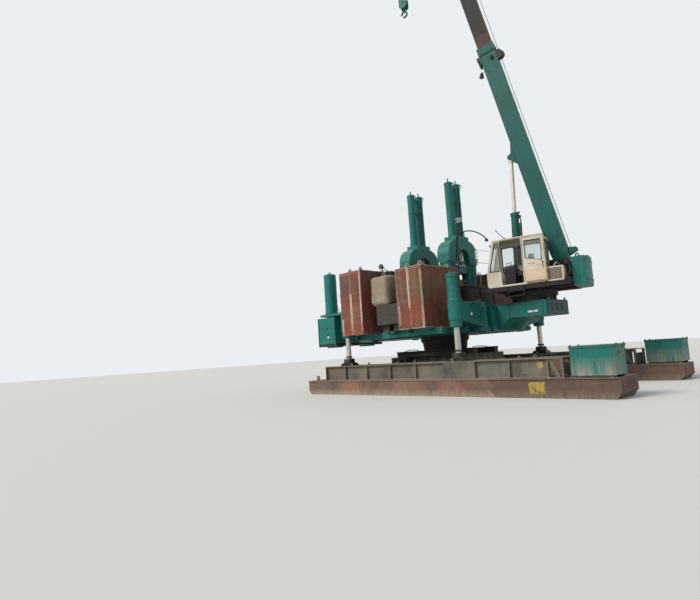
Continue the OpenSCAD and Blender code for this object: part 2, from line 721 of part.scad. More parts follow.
ring_h = 190;
carriage_z = shoe_z + shoe_h + 120;
carriage_y = 1320;
module turning_carriage() color(dark) at_pile() {
    difference() {
        union() {
            translate([0, 0, body_z - seat_gap - ring_h]) cylinder(r = turn_r, h = ring_h);
            translate([0, 0, carriage_z + 200])
                cylinder(r1 = 820, r2 = turn_r - 60, h = body_z - ring_h - carriage_z - 200);
            for (y = [-1, 1] * 750) {
                block([-shoe_x - 420, y - 140, carriage_z + 90], [shoe_x + 420, y + 140, carriage_z + 620]);
                block([-shoe_x - 420, y - 190, carriage_z + 600], [shoe_x + 420, y + 190, carriage_z + 650]);
            }
            for (x = [-1, 1] * shoe_x, s = [-1, 1])
                block([x + s * 330 - 70, -carriage_y, carriage_z],
                    [x + s * 330 + 70, carriage_y, carriage_z + 420]);
            for (x = [-1, 1] * shoe_x)
                block([x - 330, -carriage_y, carriage_z + 300], [x + 330, carriage_y, carriage_z + 420]);
            block([-820, -900, carriage_z + 120], [820, 900, carriage_z + 420]);
            for (y = [-1, 1] * 1020) block([-shoe_x, y - 60, carriage_z + 420],
                [shoe_x, y + 60, carriage_z + 560]);
        }
        translate([0, 0, carriage_z - 1]) cylinder(r = clamp_r + 60, h = body_z);
    }
    for (x = [-1, 1] * shoe_x, y = [-1150, -380, 380, 1150], s = [-1, 1])
        translate([x + s * 330, y, carriage_z - 40]) rotate([0, 90, 0])
            cylinder(r = 80 - seat_gap, h = 220, center = true);
}
module short_shoe() {
    l = shoe_len / 2;
    cross_plate(0, shoe_w) polygon([[-l + 300, shoe_z], [l - 300, shoe_z], [l, shoe_z + 250],
        [l, shoe_z + shoe_h], [-l, shoe_z + shoe_h], [-l, shoe_z + 250]]);
    for (x = [-1, 1] * shoe_w / 2)
        block([x - 25, -l, shoe_z + shoe_h - 60], [x + 25, l, shoe_z + shoe_h]);
}
module short_shoes() color(rust) at_pile()
    for (x = [-1, 1] * shoe_x) translate([x, 0, 0]) short_shoe();

// Power pack on the body, between the pressing frames and the crane

pack_x = frame_x + 420;
pack_w = 2000;
module power_pack() color(dark) at_pile() {
    block([pack_x + 30, -pack_w / 2 + 30, body_top], [pack_x + 500, pack_w / 2 - 30, body_top + 840]);
    block([pack_x, -pack_w / 2, body_top + 840], [pack_x + 530, pack_w / 2, body_top + 900]);
    for (y = [-1, 0, 1] * (pack_w / 2 - 30)) block([pack_x, y - 30, body_top],
        [pack_x + 530, y + 30, body_top + 850]);
    for (y = [-1, 1] * (pack_w / 4)) translate([pack_x + 265, y, body_top + 900])
        cylinder(r = 150, h = 50);
}

// Slewing bearing on its pedestal

module crane_pedestal() color(dark) at_pile() translate([slew_x, 0, body_top]) {
    cylinder(r = 760, h = 200);
    translate([0, 0, 200]) cylinder(r = 820, h = bearing_z - body_top - 200);
    for (a = [0:45:315]) rotate([0, 0, a]) translate([740, -15, 0]) cube([70, 30, 220]);
}

// Crane deck: bearing ring, plate, boom foot cheeks and cylinder foot

cheek_y = base_w / 2 + 20;
rail_reach = deck_rear + 400;
cheek_t = 45;
lift_ear_y = 95;
module cheek_outline() polygon([[foot_x - 420, deck_z - 10], [foot_x + 300, deck_z - 10],
    [foot_x + 250, foot_z + 120], [foot_x + 120, foot_z + 240], [foot_x - 120, foot_z + 240],
    [foot_x - 260, foot_z + 60]]);
module lift_ear() {
    translate([-lift_x, lift_z]) circle(130);
    polygon([[-lift_x - 260, deck_z - 10], [-lift_x + 260, deck_z - 10],
        [-lift_x + 125, lift_z], [-lift_x - 125, lift_z]]);
}
module slew_deck() color(dark) at_crane() {
    translate([0, 0, bearing_z + seat_gap]) cylinder(r = 700, h = deck_z - bearing_z - 60 - seat_gap);
    block([-deck_front, -deck_y, deck_z - 70], [deck_rear, deck_y, deck_z]);
    both_sides() block([-deck_front, deck_y - 60, deck_z - 160], [deck_rear, deck_y, deck_z - 60]);
    both_sides() block([200, 420, deck_z - 180], [rail_reach, 520, deck_z - 60]);
    for (y = [-1, 1] * (cheek_y + cheek_t / 2)) side_plate(y, cheek_t) cheek_outline();
    for (y = [-1, 1] * (lift_ear_y + 25)) side_plate(y, 40) lift_ear();
    cross_bar(foot_x, foot_z, 90, 2 * (cheek_y + cheek_t) + 40);
    cross_bar(-lift_x, lift_z, 60, 2 * (lift_ear_y + 45) + 30);
}

// Cab: a hollow shell with its windows and door way cut

cab_x0 = -deck_front + 50;
cab_x1 = cab_x0 + cab_len;
cab_y0 = -deck_y;
cab_y1 = cab_y0 + cab_w;
cab_z1 = deck_z + cab_h;
door_x0 = cab_x0 + 530;
mirror_x = cab_x0 - 330;
// Each row: lower corner and upper corner, as x and z, of a window in a side wall
near_windows = [[door_x0 + door_w + 90, deck_z + 800, cab_x1 - 90, cab_z1 - 190]];
far_windows = [[cab_x0 + 380, deck_z + 560, cab_x0 + 900, cab_z1 - 190],
    [cab_x0 + 960, deck_z + 800, cab_x1 - 150, cab_z1 - 190]];
// The front wall leans back above its knee
knee_z = deck_z + 480;
function front_x(z) = cab_x0 + cab_lean * (z - knee_z) / (cab_z1 - knee_z);
module cab_outline(t) difference() {
    round_rect([cab_x0 + t, deck_z + t], [cab_x1 - t, cab_z1 - t], 90 - t);
    polygon([[cab_x0 - 10, knee_z], [cab_x0 + t, knee_z],
        [front_x(cab_z1) + t, cab_z1], [cab_x0 - 10, cab_z1]]);
}
module quarter_window() polygon([[cab_x0 + 110, deck_z + 570], [cab_x0 + 490, deck_z + 570],
    [cab_x0 + 490, cab_z1 - 110], [cab_x0 + 350, cab_z1 - 110]]);
module side_window(w) round_rect([w[0], w[1]], [w[2], w[3]], 60);
end_sill = 620;
module end_window() round_rect([cab_y0 + 110, deck_z + end_sill], [cab_y1 - 110, cab_z1 - 190], 60);
module door_way() round_rect([door_x0, deck_z + 60], [door_x0 + door_w, cab_z1 - 75], 50);
module cab_shell() color(cream) at_crane() {
    difference() {
        side_plate(cab_y0 + cab_w / 2, cab_w) cab_outline(0);
        side_plate(cab_y0 + cab_w / 2, cab_w - 2 * cab_t) cab_outline(cab_t);
        side_plate(cab_y0 + cab_t / 2, cab_t + 2) {
            for (w = near_windows) side_window(w);
            quarter_window();
            door_way();
        }
        side_plate(cab_y1 - cab_t / 2, cab_t + 2) for (w = far_windows) side_window(w);
        cross_plate(cab_x0 + cab_lean / 2 + cab_t / 2, cab_lean + cab_t + 2) end_window();
        cross_plate(cab_x1 - cab_t / 2, cab_t + 2) end_window();
    }
    for (z = [cab_z1 - 360, deck_z + 900]) translate([front_x(z) + 20, cab_y0 + 65, z])
        rotate([0, -75, 0]) cylinder(r = 14, h = (front_x(z) - mirror_x + 20) / sin(75));
    translate([mirror_x, cab_y0 + 65, deck_z + 940]) cylinder(r = 16, h = 590);
    block([mirror_x - 20, cab_y0 - 70, deck_z + 1120], [mirror_x + 10, cab_y0 + 150, deck_z + 1440]);
    for (z = hinge_zs) {
        translate([door_hinge[0], door_hinge[1], z + 120 + slide_gap]) cylinder(r = 12, h = 50);
        block([door_hinge[0] - 2, door_hinge[1], z + 120 + slide_gap],
            [door_hinge[0] + 40, cab_y0 + 5, z + 170 + slide_gap]);
    }
}
pane_t = 6;
module cab_glass() color(glass) at_crane() {
    side_plate(cab_y0 + cab_t / 2, pane_t) {
        for (w = near_windows) side_window(w);
        quarter_window();
    }
    side_plate(cab_y1 - cab_t / 2, pane_t) for (w = far_windows) side_window(w);
    intersection() {
        cross_plate(cab_x0 + cab_lean / 2, cab_lean + 200) end_window();
        side_plate(cab_y0 + cab_w / 2, cab_w) polygon([[front_x(knee_z) + 16, knee_z],
            [front_x(knee_z) + 16 + pane_t, knee_z], [front_x(cab_z1) + 16 + pane_t, cab_z1],
            [front_x(cab_z1) + 16, cab_z1]]);
    }
    cross_plate(cab_x1 - cab_t / 2, pane_t) end_window();
}
module at_seat() at_crane() translate([cab_x0 + 1180, cab_y0 + cab_w / 2, deck_z + cab_t]) children();
module seat_cushions() color(dark) at_seat() {
    block([-230, -230, 350], [240, 230, 470]);
    side_plate(0, 440) polygon([[170, 470], [270, 470], [370, 1060], [270, 1080]]);
}
module cab_seat() color(dark) at_seat() {
    cylinder(r = 120, h = 330);
    block([-220, -220, 320], [300, 220, 350]);
    side_plate(0, 300) polygon([[240, 350], [300, 350], [400, 1040], [368, 1048], [270, 470], [240, 470]]);
    for (y = [-1, 1] * 300) block([-560, y - 60, 0], [-200, y + 60, 600]);
    for (y = [-1, 1] * 300, x = [-480, -400, -320]) translate([x, y, 600]) cylinder(r = 10, h = 180);
}

// Cab door, folded back flat against the cab's side

door_t = 38;
door_gap = 6;
door_hinge = [door_x0 + door_w + 24, cab_y0 - door_gap - door_t - 2];
hinge_zs = [deck_z + 250, deck_z + 850, cab_z1 - 300];
module door_outline() round_rect([door_hinge[0] + 18, deck_z + 55],
    [door_hinge[0] + 18 + door_w + 12, cab_z1 - 65], 40);
module door_window() {
    x0 = door_hinge[0] + 110;
    x1 = door_hinge[0] + door_w - 90;
    polygon([[x0, deck_z + 900], [x1, deck_z + 760], [x1, cab_z1 - 200], [x0, cab_z1 - 200]]);
}
door_y = door_hinge[1] - 2 - door_t / 2;
module cab_door() color(cream) at_crane() {
    side_plate(door_y, door_t) difference() {
        door_outline();
        door_window();
    }
    for (z = hinge_zs) {
        translate([door_hinge[0], door_hinge[1], z]) cylinder(r = 12, h = 120);
        block([door_hinge[0], door_y - door_t / 2, z],
            [door_hinge[0] + 60, door_hinge[1], z + 120]);
    }
}
module door_glass() color(glass) at_crane() side_plate(door_y, pane_t) door_window();

// Engine cover on the far side

cover_h = 950;
module engine_cover() color(dark) at_crane() side_plate((deck_y + 380) / 2, deck_y - 380)
    round_rect([-deck_front + 250, deck_z], [deck_rear - 200, deck_z + cover_h], 80);

// Louvred cooler behind the cab

cooler_z = deck_z + 490;
slat_count = 9;
module cooler() color(cream) at_crane() {
    cooler_x0 = cab_x1 + 10;
    cooler_x1 = cooler_x0 + 540;
    difference() {
        block([cooler_x0, -deck_y, deck_z], [cooler_x1, -deck_y + 560, cooler_z]);
        block([cooler_x0 + 45, -deck_y - 1, deck_z + 45], [cooler_x1 - 45, -deck_y + 60, cooler_z - 45]);
    }
    for (i = [0:slat_count - 1]) translate([0, 0, deck_z + 55 + i * (cooler_z - deck_z - 100) / slat_count])
        side_plate_slat(cooler_x0 + 45, cooler_x1 - 45);
}
module side_plate_slat(x0, x1) translate([x0, -deck_y + 10, 0]) rotate([90, 0, 90])
    linear_extrude(x1 - x0) polygon([[0, 0], [50, 30], [50, 36], [0, 6]]);

// Tail counterweight of the crane, round at the rear

weight_top = deck_z + 790;
weight_r = 2010;
drum_x = deck_rear + 190;
module crane_weight() color(teal) at_crane() difference() {
    translate([0, 0, deck_z - 180]) intersection() {
        cylinder(r = weight_r, h = weight_top - deck_z + 180, $fn = 128);
        block([deck_rear, -760, 0], [weight_r + 10, 760, 1200]);
    }
    block([deck_rear - 1, -380, deck_z], [drum_x + 210, 380, weight_top + 1]);
    both_sides() block([deck_rear - 1, 420, deck_z - 181], [rail_reach, 520, deck_z - 60]);
}

// Winch drum between flanged ends, on its stand

drum_r = 120;
drum_z = deck_z + 240;
module winch() color(dark) at_crane() {
    cross_bar(drum_x, drum_z, drum_r, 500);
    for (y = [-1, 1] * 235) translate([drum_x, y, drum_z]) rotate([90, 0, 0])
        cylinder(r = drum_r + 55, h = 30, center = true);
    for (y = [-1, 1] * 300) side_plate(y, 40) polygon([[drum_x - 110, deck_z],
        [drum_x + 150, deck_z], [drum_x + 70, drum_z + 70], [drum_x - 70, drum_z + 70]]);
    block([deck_rear, -320, deck_z], [drum_x + 190, 320, deck_z + 40]);
    cross_bar(drum_x, drum_z, 50, 640);
}

// Lift cylinder

// Rod eye, from the slewing centre, at the parked boom angle
eye_x = foot_x - lift_s * cos(boom_angle) - lift_t * sin(boom_angle);
eye_z = foot_z + lift_s * sin(boom_angle) - lift_t * cos(boom_angle);
lift_len = sqrt(pow(eye_x + lift_x, 2) + pow(eye_z - lift_z, 2));
lift_lean = atan((eye_x + lift_x) / (eye_z - lift_z));
barrel_len = lift_len * 0.54;
module at_lift() at_crane() translate([-lift_x, 0, lift_z]) rotate([0, lift_lean, 0]) children();
module lift_barrel() color(teal) at_lift() difference() {
    union() {
        translate([0, 0, 150]) cylinder(r = lift_r, h = barrel_len - 150);
        translate([0, 0, barrel_len - 110]) cylinder(r = lift_r + 14, h = 110);
        cross_bar(0, 0, 120, 2 * lift_ear_y);
        block([-70, -lift_ear_y, 0], [70, lift_ear_y, 170]);
        translate([lift_r - 10, -40, 500]) cube([70, 80, barrel_len - 900]);
    }
    cross_bar(0, 0, 60 + slide_gap, 400);
    translate([0, 0, 230]) cylinder(r = lift_rod_r + 28, h = barrel_len - 400);
    translate([0, 0, barrel_len - 200]) cylinder(r = lift_rod_r + slide_gap, h = 201);
}
eye_gap = 46;
module lift_rod() color(chrome) at_lift() difference() {
    union() {
        translate([0, 0, barrel_len - 1100]) cylinder(r = lift_rod_r, h = lift_len - barrel_len + 1100 - 60);
        cross_bar(0, lift_len, 140, 150);
        translate([0, 0, barrel_len - 1100]) cylinder(r = lift_rod_r + 24, h = 60);
    }
    cross_bar(0, lift_len, 50 + eye_gap, 200);
}

// Boom: three box sections, one inside the next

mid_d = base_d - 2 * boom_t - 36;
mid_w = base_w - 2 * boom_t - 36;
tip_d = mid_d - 2 * boom_t - 36;
tip_w = mid_w - 2 * boom_t - 36;
overlap = 1500;
module box_tube(d, w, z0, z1) difference() {
    block([-d / 2, -w / 2, z0], [d / 2, w / 2, z1]);
    block([-d / 2 + boom_t, -w / 2 + boom_t, z0 - 1], [d / 2 - boom_t, w / 2 - boom_t, z1 + 1]);
}
// Wear pads on an inner section's foot, running on the walls of the outer one
pad_t = (base_d - mid_d) / 2 - boom_t - slide_gap;
module slide_pads(d, s0) for (side = [-1, 1])
    translate([side * (d + pad_t) / 2, 0, s0 + 150]) cube([pad_t, 120, 300], center = true);
bracket_y = 80;
heel_r = 230;
module boom_base() color(teal) at_boom() {
    box_tube(base_d, base_w, 620, base_len - 300);
    difference() {
        block([-base_d / 2 - 25, -base_w / 2 - 25, base_len - 320],
            [base_d / 2 + 25, base_w / 2 + 25, base_len]);
        block([-mid_d / 2 - 6, -mid_w / 2 - 6, base_len - 321],
            [mid_d / 2 + 6, mid_w / 2 + 6, base_len + 1]);
    }
    difference() {
        side_plate(0, base_w) union() {
            circle(heel_r);
            polygon([[-heel_r, 0], [heel_r, 0], [base_d / 2, 620], [-base_d / 2, 620]]);
        }
        cross_bar(0, 0, 90 + slide_gap, 600);
    }
    for (y = [-1, 1] * (bracket_y + 25)) side_plate(y, 40) {
        polygon([[-base_d / 2, lift_s - 330], [-base_d / 2, lift_s + 560],
            [-lift_t + 60, lift_s + 150], [-lift_t - 100, lift_s]]);
        translate([-lift_t, lift_s]) circle(110);
    }
    cross_bar(-lift_t, lift_s, 50, 2 * bracket_y + 110);
    rope_guide();
}
// The hoist rope runs along the boom's back, rope_t from its centre line
rope_t = 400;
rope_r = 11;
guide_s = 470;
module rope_guide() {
    guide_t = rope_t + 90 + rope_r + seat_gap;
    for (y = [-120, 120]) side_plate(y, 20) polygon([[220, guide_s - 160], [260, guide_s + 160],
        [guide_t + 60, guide_s + 60], [guide_t + 60, guide_s - 60]]);
    cross_bar(guide_t, guide_s, 90, 230);
}
module boom_mid() color(dark) at_boom() {
    box_tube(mid_d, mid_w, base_len - overlap, base_len + mid_out - 250);
    difference() {
        block([-mid_d / 2 - 20, -mid_w / 2 - 20, base_len + mid_out - 260],
            [mid_d / 2 + 20, mid_w / 2 + 20, base_len + mid_out]);
        block([-tip_d / 2 - 6, -tip_w / 2 - 6, base_len + mid_out - 261],
            [tip_d / 2 + 6, tip_w / 2 + 6, base_len + mid_out + 1]);
    }
    slide_pads(mid_d, base_len - overlap);
}
head_s = base_len + mid_out + tip_out;
head_t = -120;
groove_d = 22;
roller_r = 130;
roller_t = rope_t - roller_r + groove_d - rope_r;
module boom_tip() color(dark) at_boom() {
    box_tube(tip_d, tip_w, base_len + mid_out - overlap, head_s - 420);
    slide_pads(tip_d, base_len + mid_out - overlap);
    for (y = [-1, 1] * (tip_w / 2 - 10)) side_plate(y, 20) polygon([[-tip_d / 2, head_s - 600],
        [tip_d / 2, head_s - 600], [roller_t + 60, head_s - 260], [roller_t + 60, head_s + 60],
        [head_t + 120, head_s + 120], [head_t - 120, head_s + 120], [head_t - 200, head_s - 100],
        [-tip_d / 2, head_s - 420]]);
    for (y = [-70, 70]) translate([head_t, y, head_s]) sheave(sheave_r);
    cross_bar(head_t, head_s, 45, tip_w + 40);
    for (y = [-70, 70]) translate([roller_t, y, head_s - 180]) sheave(roller_r);
    cross_bar(roller_t, head_s - 180, 30, tip_w + 20);
}
module sheave(r) rotate([90, 0, 0]) rotate_extrude($fn = 64)
    polygon([[0, -40], [r, -40], [r, -28], [r - groove_d, -8], [r - groove_d, 8],
        [r, 28], [r, 40], [0, 40]]);

// Hoist rope falls and hook block, hung from the head sheaves

head_x = foot_x - head_s * cos(boom_angle) + head_t * sin(boom_angle);
head_z = foot_z + head_s * sin(boom_angle) + head_t * cos(boom_angle);
drop_x = head_x - sheave_r + groove_d - rope_r - 2 * seat_gap;
block_z = hook_z + 800;
module hook_rope() color(dark) at_crane() for (y = [-70, 70]) translate([drop_x, y, block_z])
    cylinder(r = rope_r, h = head_z - block_z, $fn = 16);
module hook_block() color(teal) at_crane() translate([drop_x, 0, hook_z]) {
    for (y = [-125, 125]) side_plate(y, 25) round_rect([-170, 420], [170, 900], 110);
    for (y = [-70, 70]) difference() {
        translate([0, y, 700]) rotate([90, 0, 0]) cylinder(r = 150, h = 70, center = true);
        translate([0, y, 800]) cylinder(r = rope_r + seat_gap, h = 200, $fn = 16);
    }
    cross_bar(0, 700, 35, 290);
    block([-60, -130, 430], [60, 130, 490]);
    translate([0, 0, 380]) cylinder(r = 95, h = 90);
    translate([0, 0, 290]) cylinder(r = 45, h = 120);
    translate([0, 0, 165]) rotate([90, 0, 0]) rotate([0, 0, -110]) rotate_extrude(angle = 290)
        translate([120, 0]) circle(42);
}

main_body();
tail_beam();
outrigger_arms();
hinge_pins();
ballast_racks();
ballast_slabs();
concrete_blocks();
spacer_stacks();
press_frames();
press_cylinders();
side_press_frame();
leg_barrels();
crane_pedestal();
power_pack();
work_lamps();
clamp_box();
press_rods();
side_clamp();
side_rods();
leg_rods_near();
trolleys_near();
leg_rods_far();
trolleys_far();
hull_near();
girder_near();
toolbox_near();
hull_far();
girder_far();
toolbox_far();
turning_carriage();
short_shoes();
slew_deck();
cab_shell();
cab_glass();
cab_seat();
seat_cushions();
engine_cover();
cooler();
crane_weight();
winch();
cab_door();
door_glass();
lift_barrel();
lift_rod();
boom_base();
boom_mid();
boom_tip();
hook_rope();
hook_block();
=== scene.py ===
import math
import random

import bmesh
import bpy
from mathutils import Matrix, Vector, noise


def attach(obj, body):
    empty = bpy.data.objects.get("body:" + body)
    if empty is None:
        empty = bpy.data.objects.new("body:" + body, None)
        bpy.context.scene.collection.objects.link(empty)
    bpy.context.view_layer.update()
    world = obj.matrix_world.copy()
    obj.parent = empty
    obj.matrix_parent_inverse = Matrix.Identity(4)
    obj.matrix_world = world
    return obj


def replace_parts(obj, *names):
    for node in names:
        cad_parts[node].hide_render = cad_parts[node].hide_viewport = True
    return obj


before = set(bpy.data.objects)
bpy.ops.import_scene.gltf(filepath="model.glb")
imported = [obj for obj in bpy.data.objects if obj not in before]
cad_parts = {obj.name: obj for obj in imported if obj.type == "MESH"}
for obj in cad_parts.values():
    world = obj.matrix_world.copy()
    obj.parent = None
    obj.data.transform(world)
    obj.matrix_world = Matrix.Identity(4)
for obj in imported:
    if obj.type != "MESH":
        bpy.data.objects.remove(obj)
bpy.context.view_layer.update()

chance = random.Random(9)

# Where the machine is seen from: a standing eye, close to the crane end of
# the near hull, looking slightly up along the machine, with the picture
# tipped a little as in a hand-held shot.
eye = Vector((11.795, -17.643, 1.581))
turn, lift, tip = (math.radians(a) for a in (45.898, 6.161, 3.688))
lens = bpy.data.cameras.new("view")
lens.lens = 25.97
lens.sensor_width = 36.0
lens.clip_end = 400.0
view = bpy.data.objects.new("view", lens)
bpy.context.scene.collection.objects.link(view)
view.matrix_world = (
    Matrix.Translation(eye)
    @ Matrix.Rotation(turn, 4, "Z")
    @ Matrix.Rotation(math.pi / 2 + lift, 4, "X")
    @ Matrix.Rotation(-tip, 4, "Z")
)
bpy.context.scene.camera = view
bpy.context.scene.view_settings.view_transform = "Standard"


# Hydraulic hoses: black rubber over braid, dusty on top, with crimped steel
# ferrules at both ends. They join the power pack, the valve blocks and the
# lift gear, stiff enough to stand in one easy bend.
class Coat:
    """A steel, paint or rubber skin, laid up in layers from the inside out."""

    def __init__(self, name, rough=0.6, metal=0.0):
        self.material = bpy.data.materials.new(name)
        self.material.use_nodes = True
        self.tree = self.material.node_tree
        self.skin = self.tree.nodes["Principled BSDF"]
        self.skin.inputs["Metallic"].default_value = metal
        self.skin.inputs["Roughness"].default_value = rough
        self.skin.inputs["Specular IOR Level"].default_value = 0.3
        self.place = self.add("ShaderNodeTexCoord").outputs["Object"]

    def add(self, kind, feeds=None, **settings):
        node = self.tree.nodes.new(kind)
        for key, value in settings.items():
            setattr(node, key, value)
        for key, value in (feeds or {}).items():
            if isinstance(value, bpy.types.NodeSocket):
                self.tree.links.new(value, node.inputs[key])
            else:
                node.inputs[key].default_value = value
        return node

    def speckle(self, scale, stretch=(1, 1, 1), detail=6.0, rough=0.6, shift=0.0):
        where = self.place
        if stretch != (1, 1, 1) or shift:
            where = self.add("ShaderNodeMapping",
                {"Vector": where, "Scale": stretch, "Location": (shift,) * 3}).outputs[0]
        return self.add("ShaderNodeTexNoise",
            {"Vector": where, "Scale": scale, "Detail": detail, "Roughness": rough}).outputs["Fac"]

    def between(self, value, low, high, most=1.0):
        return self.add("ShaderNodeMapRange",
            {"Value": value, "From Min": low, "From Max": high, "To Min": 0.0, "To Max": most}).outputs[0]

    def work(self, how, a, b=0.0):
        return self.add("ShaderNodeMath", {0: a, 1: b}, operation=how, use_clamp=True).outputs[0]

    def lay(self, amount, under, over):
        under, over = ((*c, 1) if isinstance(c, tuple) else c for c in (under, over))
        return self.add("ShaderNodeMix", {0: amount, 6: under, 7: over}, data_type="RGBA").outputs[2]

    def edges(self, radius=0.02):
        """Bright where the plate turns an edge, dark on flat plate."""
        soft = self.add("ShaderNodeBevel", {"Radius": radius}, samples=4).outputs[0]
        true = self.add("ShaderNodeNewGeometry").outputs["True Normal"]
        dot = self.add("ShaderNodeVectorMath", {0: soft, 1: true}, operation="DOT_PRODUCT")
        return self.between(dot.outputs["Value"], 0.985, 0.8)

    def facing_up(self):
        normal = self.add("ShaderNodeNewGeometry").outputs["True Normal"]
        return self.between(self.add("ShaderNodeSeparateXYZ", {0: normal}).outputs["Z"], 0.55, 0.95)

    def height(self, low, high):
        """1 at the low height, fading to 0 at the high one."""
        z = self.add("ShaderNodeSeparateXYZ", {0: self.place}).outputs["Z"]
        return self.between(z, high, low)

    def patch(self, low, high, ragged=0.04, turned=None):
        """1 inside a box of the object, with a ragged outline."""
        where = self.place
        if turned is not None:
            where = self.add("ShaderNodeMapping",
                {"Vector": where, "Location": turned[0], "Rotation": (0, 0, turned[1])}).outputs[0]
        shake = self.speckle(7.0)
        split = self.add("ShaderNodeSeparateXYZ", {0: where})
        inside = None
        for axis, a, b in zip("XYZ", low, high):
            off = self.add("ShaderNodeMath", {0: split.outputs[axis], 1: (a + b) / 2},
                operation="SUBTRACT").outputs[0]
            off = self.add("ShaderNodeMath", {0: off}, operation="ABSOLUTE").outputs[0]
            off = self.add("ShaderNodeMath", {0: off, 1: (b - a) / 2}, operation="SUBTRACT").outputs[0]
            off = self.add("ShaderNodeMath", {0: shake, 1: 4 * ragged, 2: off},
                operation="MULTIPLY_ADD").outputs[0]
            one = self.between(off, 2 * ragged + 0.004, 2 * ragged - 0.004)
            inside = one if inside is None else self.work("MULTIPLY", inside, one)
        return inside

    def done(self, colour, bump=None, depth=0.003, rough=None):
        if isinstance(colour, tuple):
            self.skin.inputs["Base Color"].default_value = (*colour, 1)
        else:
            self.tree.links.new(colour, self.skin.inputs["Base Color"])
        if rough is not None:
            self.tree.links.new(rough, self.skin.inputs["Roughness"])
        if bump is not None:
            soft = self.add("ShaderNodeBevel", {"Radius": 0.006}, samples=4).outputs[0]
            dent = self.add("ShaderNodeBump",
                {"Height": bump, "Distance": depth, "Strength": 0.6, "Normal": soft})
            self.tree.links.new(dent.outputs[0], self.skin.inputs["Normal"])
        return self.material


def rubber_skin(name, colour, dust):
    """Ribbed rubber, greyer where it is rubbed, dusty on top."""
    coat = Coat(name, 0.55)
    grime = coat.speckle(14.0, detail=8.0)
    braid = coat.add("ShaderNodeTexWave",
        {"Vector": coat.place, "Scale": 95.0, "Distortion": 2.0, "Detail": 2.0}).outputs["Fac"]
    skin = coat.lay(coat.between(grime, 0.4, 0.7), colour, tuple(c * 1.9 + 0.01 for c in colour))
    top = coat.work("MULTIPLY", coat.facing_up(), coat.between(grime, 0.35, 0.6, 0.8))
    return coat.done(coat.lay(top, skin, dust), coat.work("ADD", grime, braid), 0.0012,
        coat.add("ShaderNodeMapRange", {"Value": grime, "To Min": 0.45, "To Max": 0.75}).outputs[0])


dust = (0.42, 0.35, 0.26)
rubber = rubber_skin("hose_rubber", (0.018, 0.018, 0.02), dust)
pale_rubber = rubber_skin("pale_hose", (0.42, 0.43, 0.4), dust)

pile_axis = Matrix.Translation((-0.835, 0, 0))
crane_turn = math.radians(14)
slew_spot = Vector((3.265, 0, 0))
crane_axis = Matrix.Translation(slew_spot) @ Matrix.Rotation(crane_turn, 4, "Z")


def stand(name, data):
    """Put a mesh, curve, lamp or camera in the scene."""
    made = bpy.data.objects.new(name, data)
    bpy.context.scene.collection.objects.link(made)
    return made


def smooth(points, steps=8):
    """A Catmull-Rom line through the points."""
    points = [Vector(p) for p in points]
    ends = [2 * points[0] - points[1], *points, 2 * points[-1] - points[-2]]
    line = []
    for a, b, c, d in zip(ends, ends[1:], ends[2:], ends[3:]):
        for step in range(steps):
            t = step / steps
            line.append(0.5 * (2 * b + (c - a) * t + (2 * a - 5 * b + 4 * c - d) * t * t
                + (3 * b - a - 3 * c + d) * t ** 3))
    return [*line, points[-1]]


def hose(name, place, points, radius, body, skin=rubber):
    """A stiff hose along a smooth line, both of its ends on the machine."""
    line = [place @ p for p in smooth(points)]
    shape = bpy.data.curves.new(name, "CURVE")
    shape.dimensions = "3D"
    shape.bevel_depth = radius
    shape.bevel_resolution = 4
    shape.use_fill_caps = True
    run = shape.splines.new("POLY")
    run.points.add(len(line) - 1)
    for point, at in zip(run.points, line):
        point.co = (*at, 1)
    run.use_smooth = True
    shape.materials.append(skin)
    made = stand(name, shape)
    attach(made, body)
    length = sum((b - a).length for a, b in zip(line, line[1:]))
    tuple(line[0])


pack_front = 1.95
pack_hose_r, column_hose_r, cooler_hose_r, lamp_cable_r = 0.0125, 0.012, 0.014, 0.009
for number, y in enumerate((-0.72, -0.6, -0.48, 0.3, 0.42)):
    hose(f"pack_hose_{number}", pile_axis, [
        (pack_front - 0.01, y, 3.31), (2.03, y, 3.31), (2.13, y, 3.305), (2.23, y, 3.27),
        (2.29, y, 3.2), (2.31, y, 3.11), (2.31, y, 3.05)], pack_hose_r, "machine")
for number, (y, out) in enumerate(((-0.62, 1.345), (-0.86, 1.335), (0.62, 1.345))):
    hose(f"column_hose_{number}", pile_axis, [
        (1.27, y, 4.97), (out + 0.02, y, 4.93), (out + 0.045, y, 4.8), (out + 0.04, y, 4.4),
        (out + 0.035, y, 4.0), (out + 0.03, y, 3.7), (out + 0.03, y, 3.4), (out + 0.03, y, 3.05)],
        column_hose_r, "machine")
hose("lamp_cable", pile_axis, [
    (-0.47, -3.075, 4.62), (-0.46, -3.05, 4.56), (-0.44, -2.99, 4.525), (-0.41, -2.95, 4.56),
    (-0.4, -2.91, 4.6), (-0.4, -2.885, 4.62)], lamp_cable_r, "machine")
hose("feed_cable", pile_axis, [
    (-0.22, -2.78, 4.6), (-0.12, -2.78, 4.62), (0.1, -2.76, 4.7), (0.42, -2.72, 4.74),
    (0.7, -2.64, 4.68), (0.86, -2.52, 4.625), (1.0, -2.32, 4.614), (1.06, -2.05, 4.613),
    (1.0, -1.8, 4.613), (0.92, -1.6, 4.613), (0.9, -1.42, 4.61), (0.9, -1.31, 4.58),
    (0.9, -1.245, 4.5), (0.9, -1.22, 4.38), (0.9, -1.21, 4.0), (0.9, -1.2, 3.5),
    (0.9, -1.19, 3.16), (0.9, -1.17, 3.06)], column_hose_r, "machine")
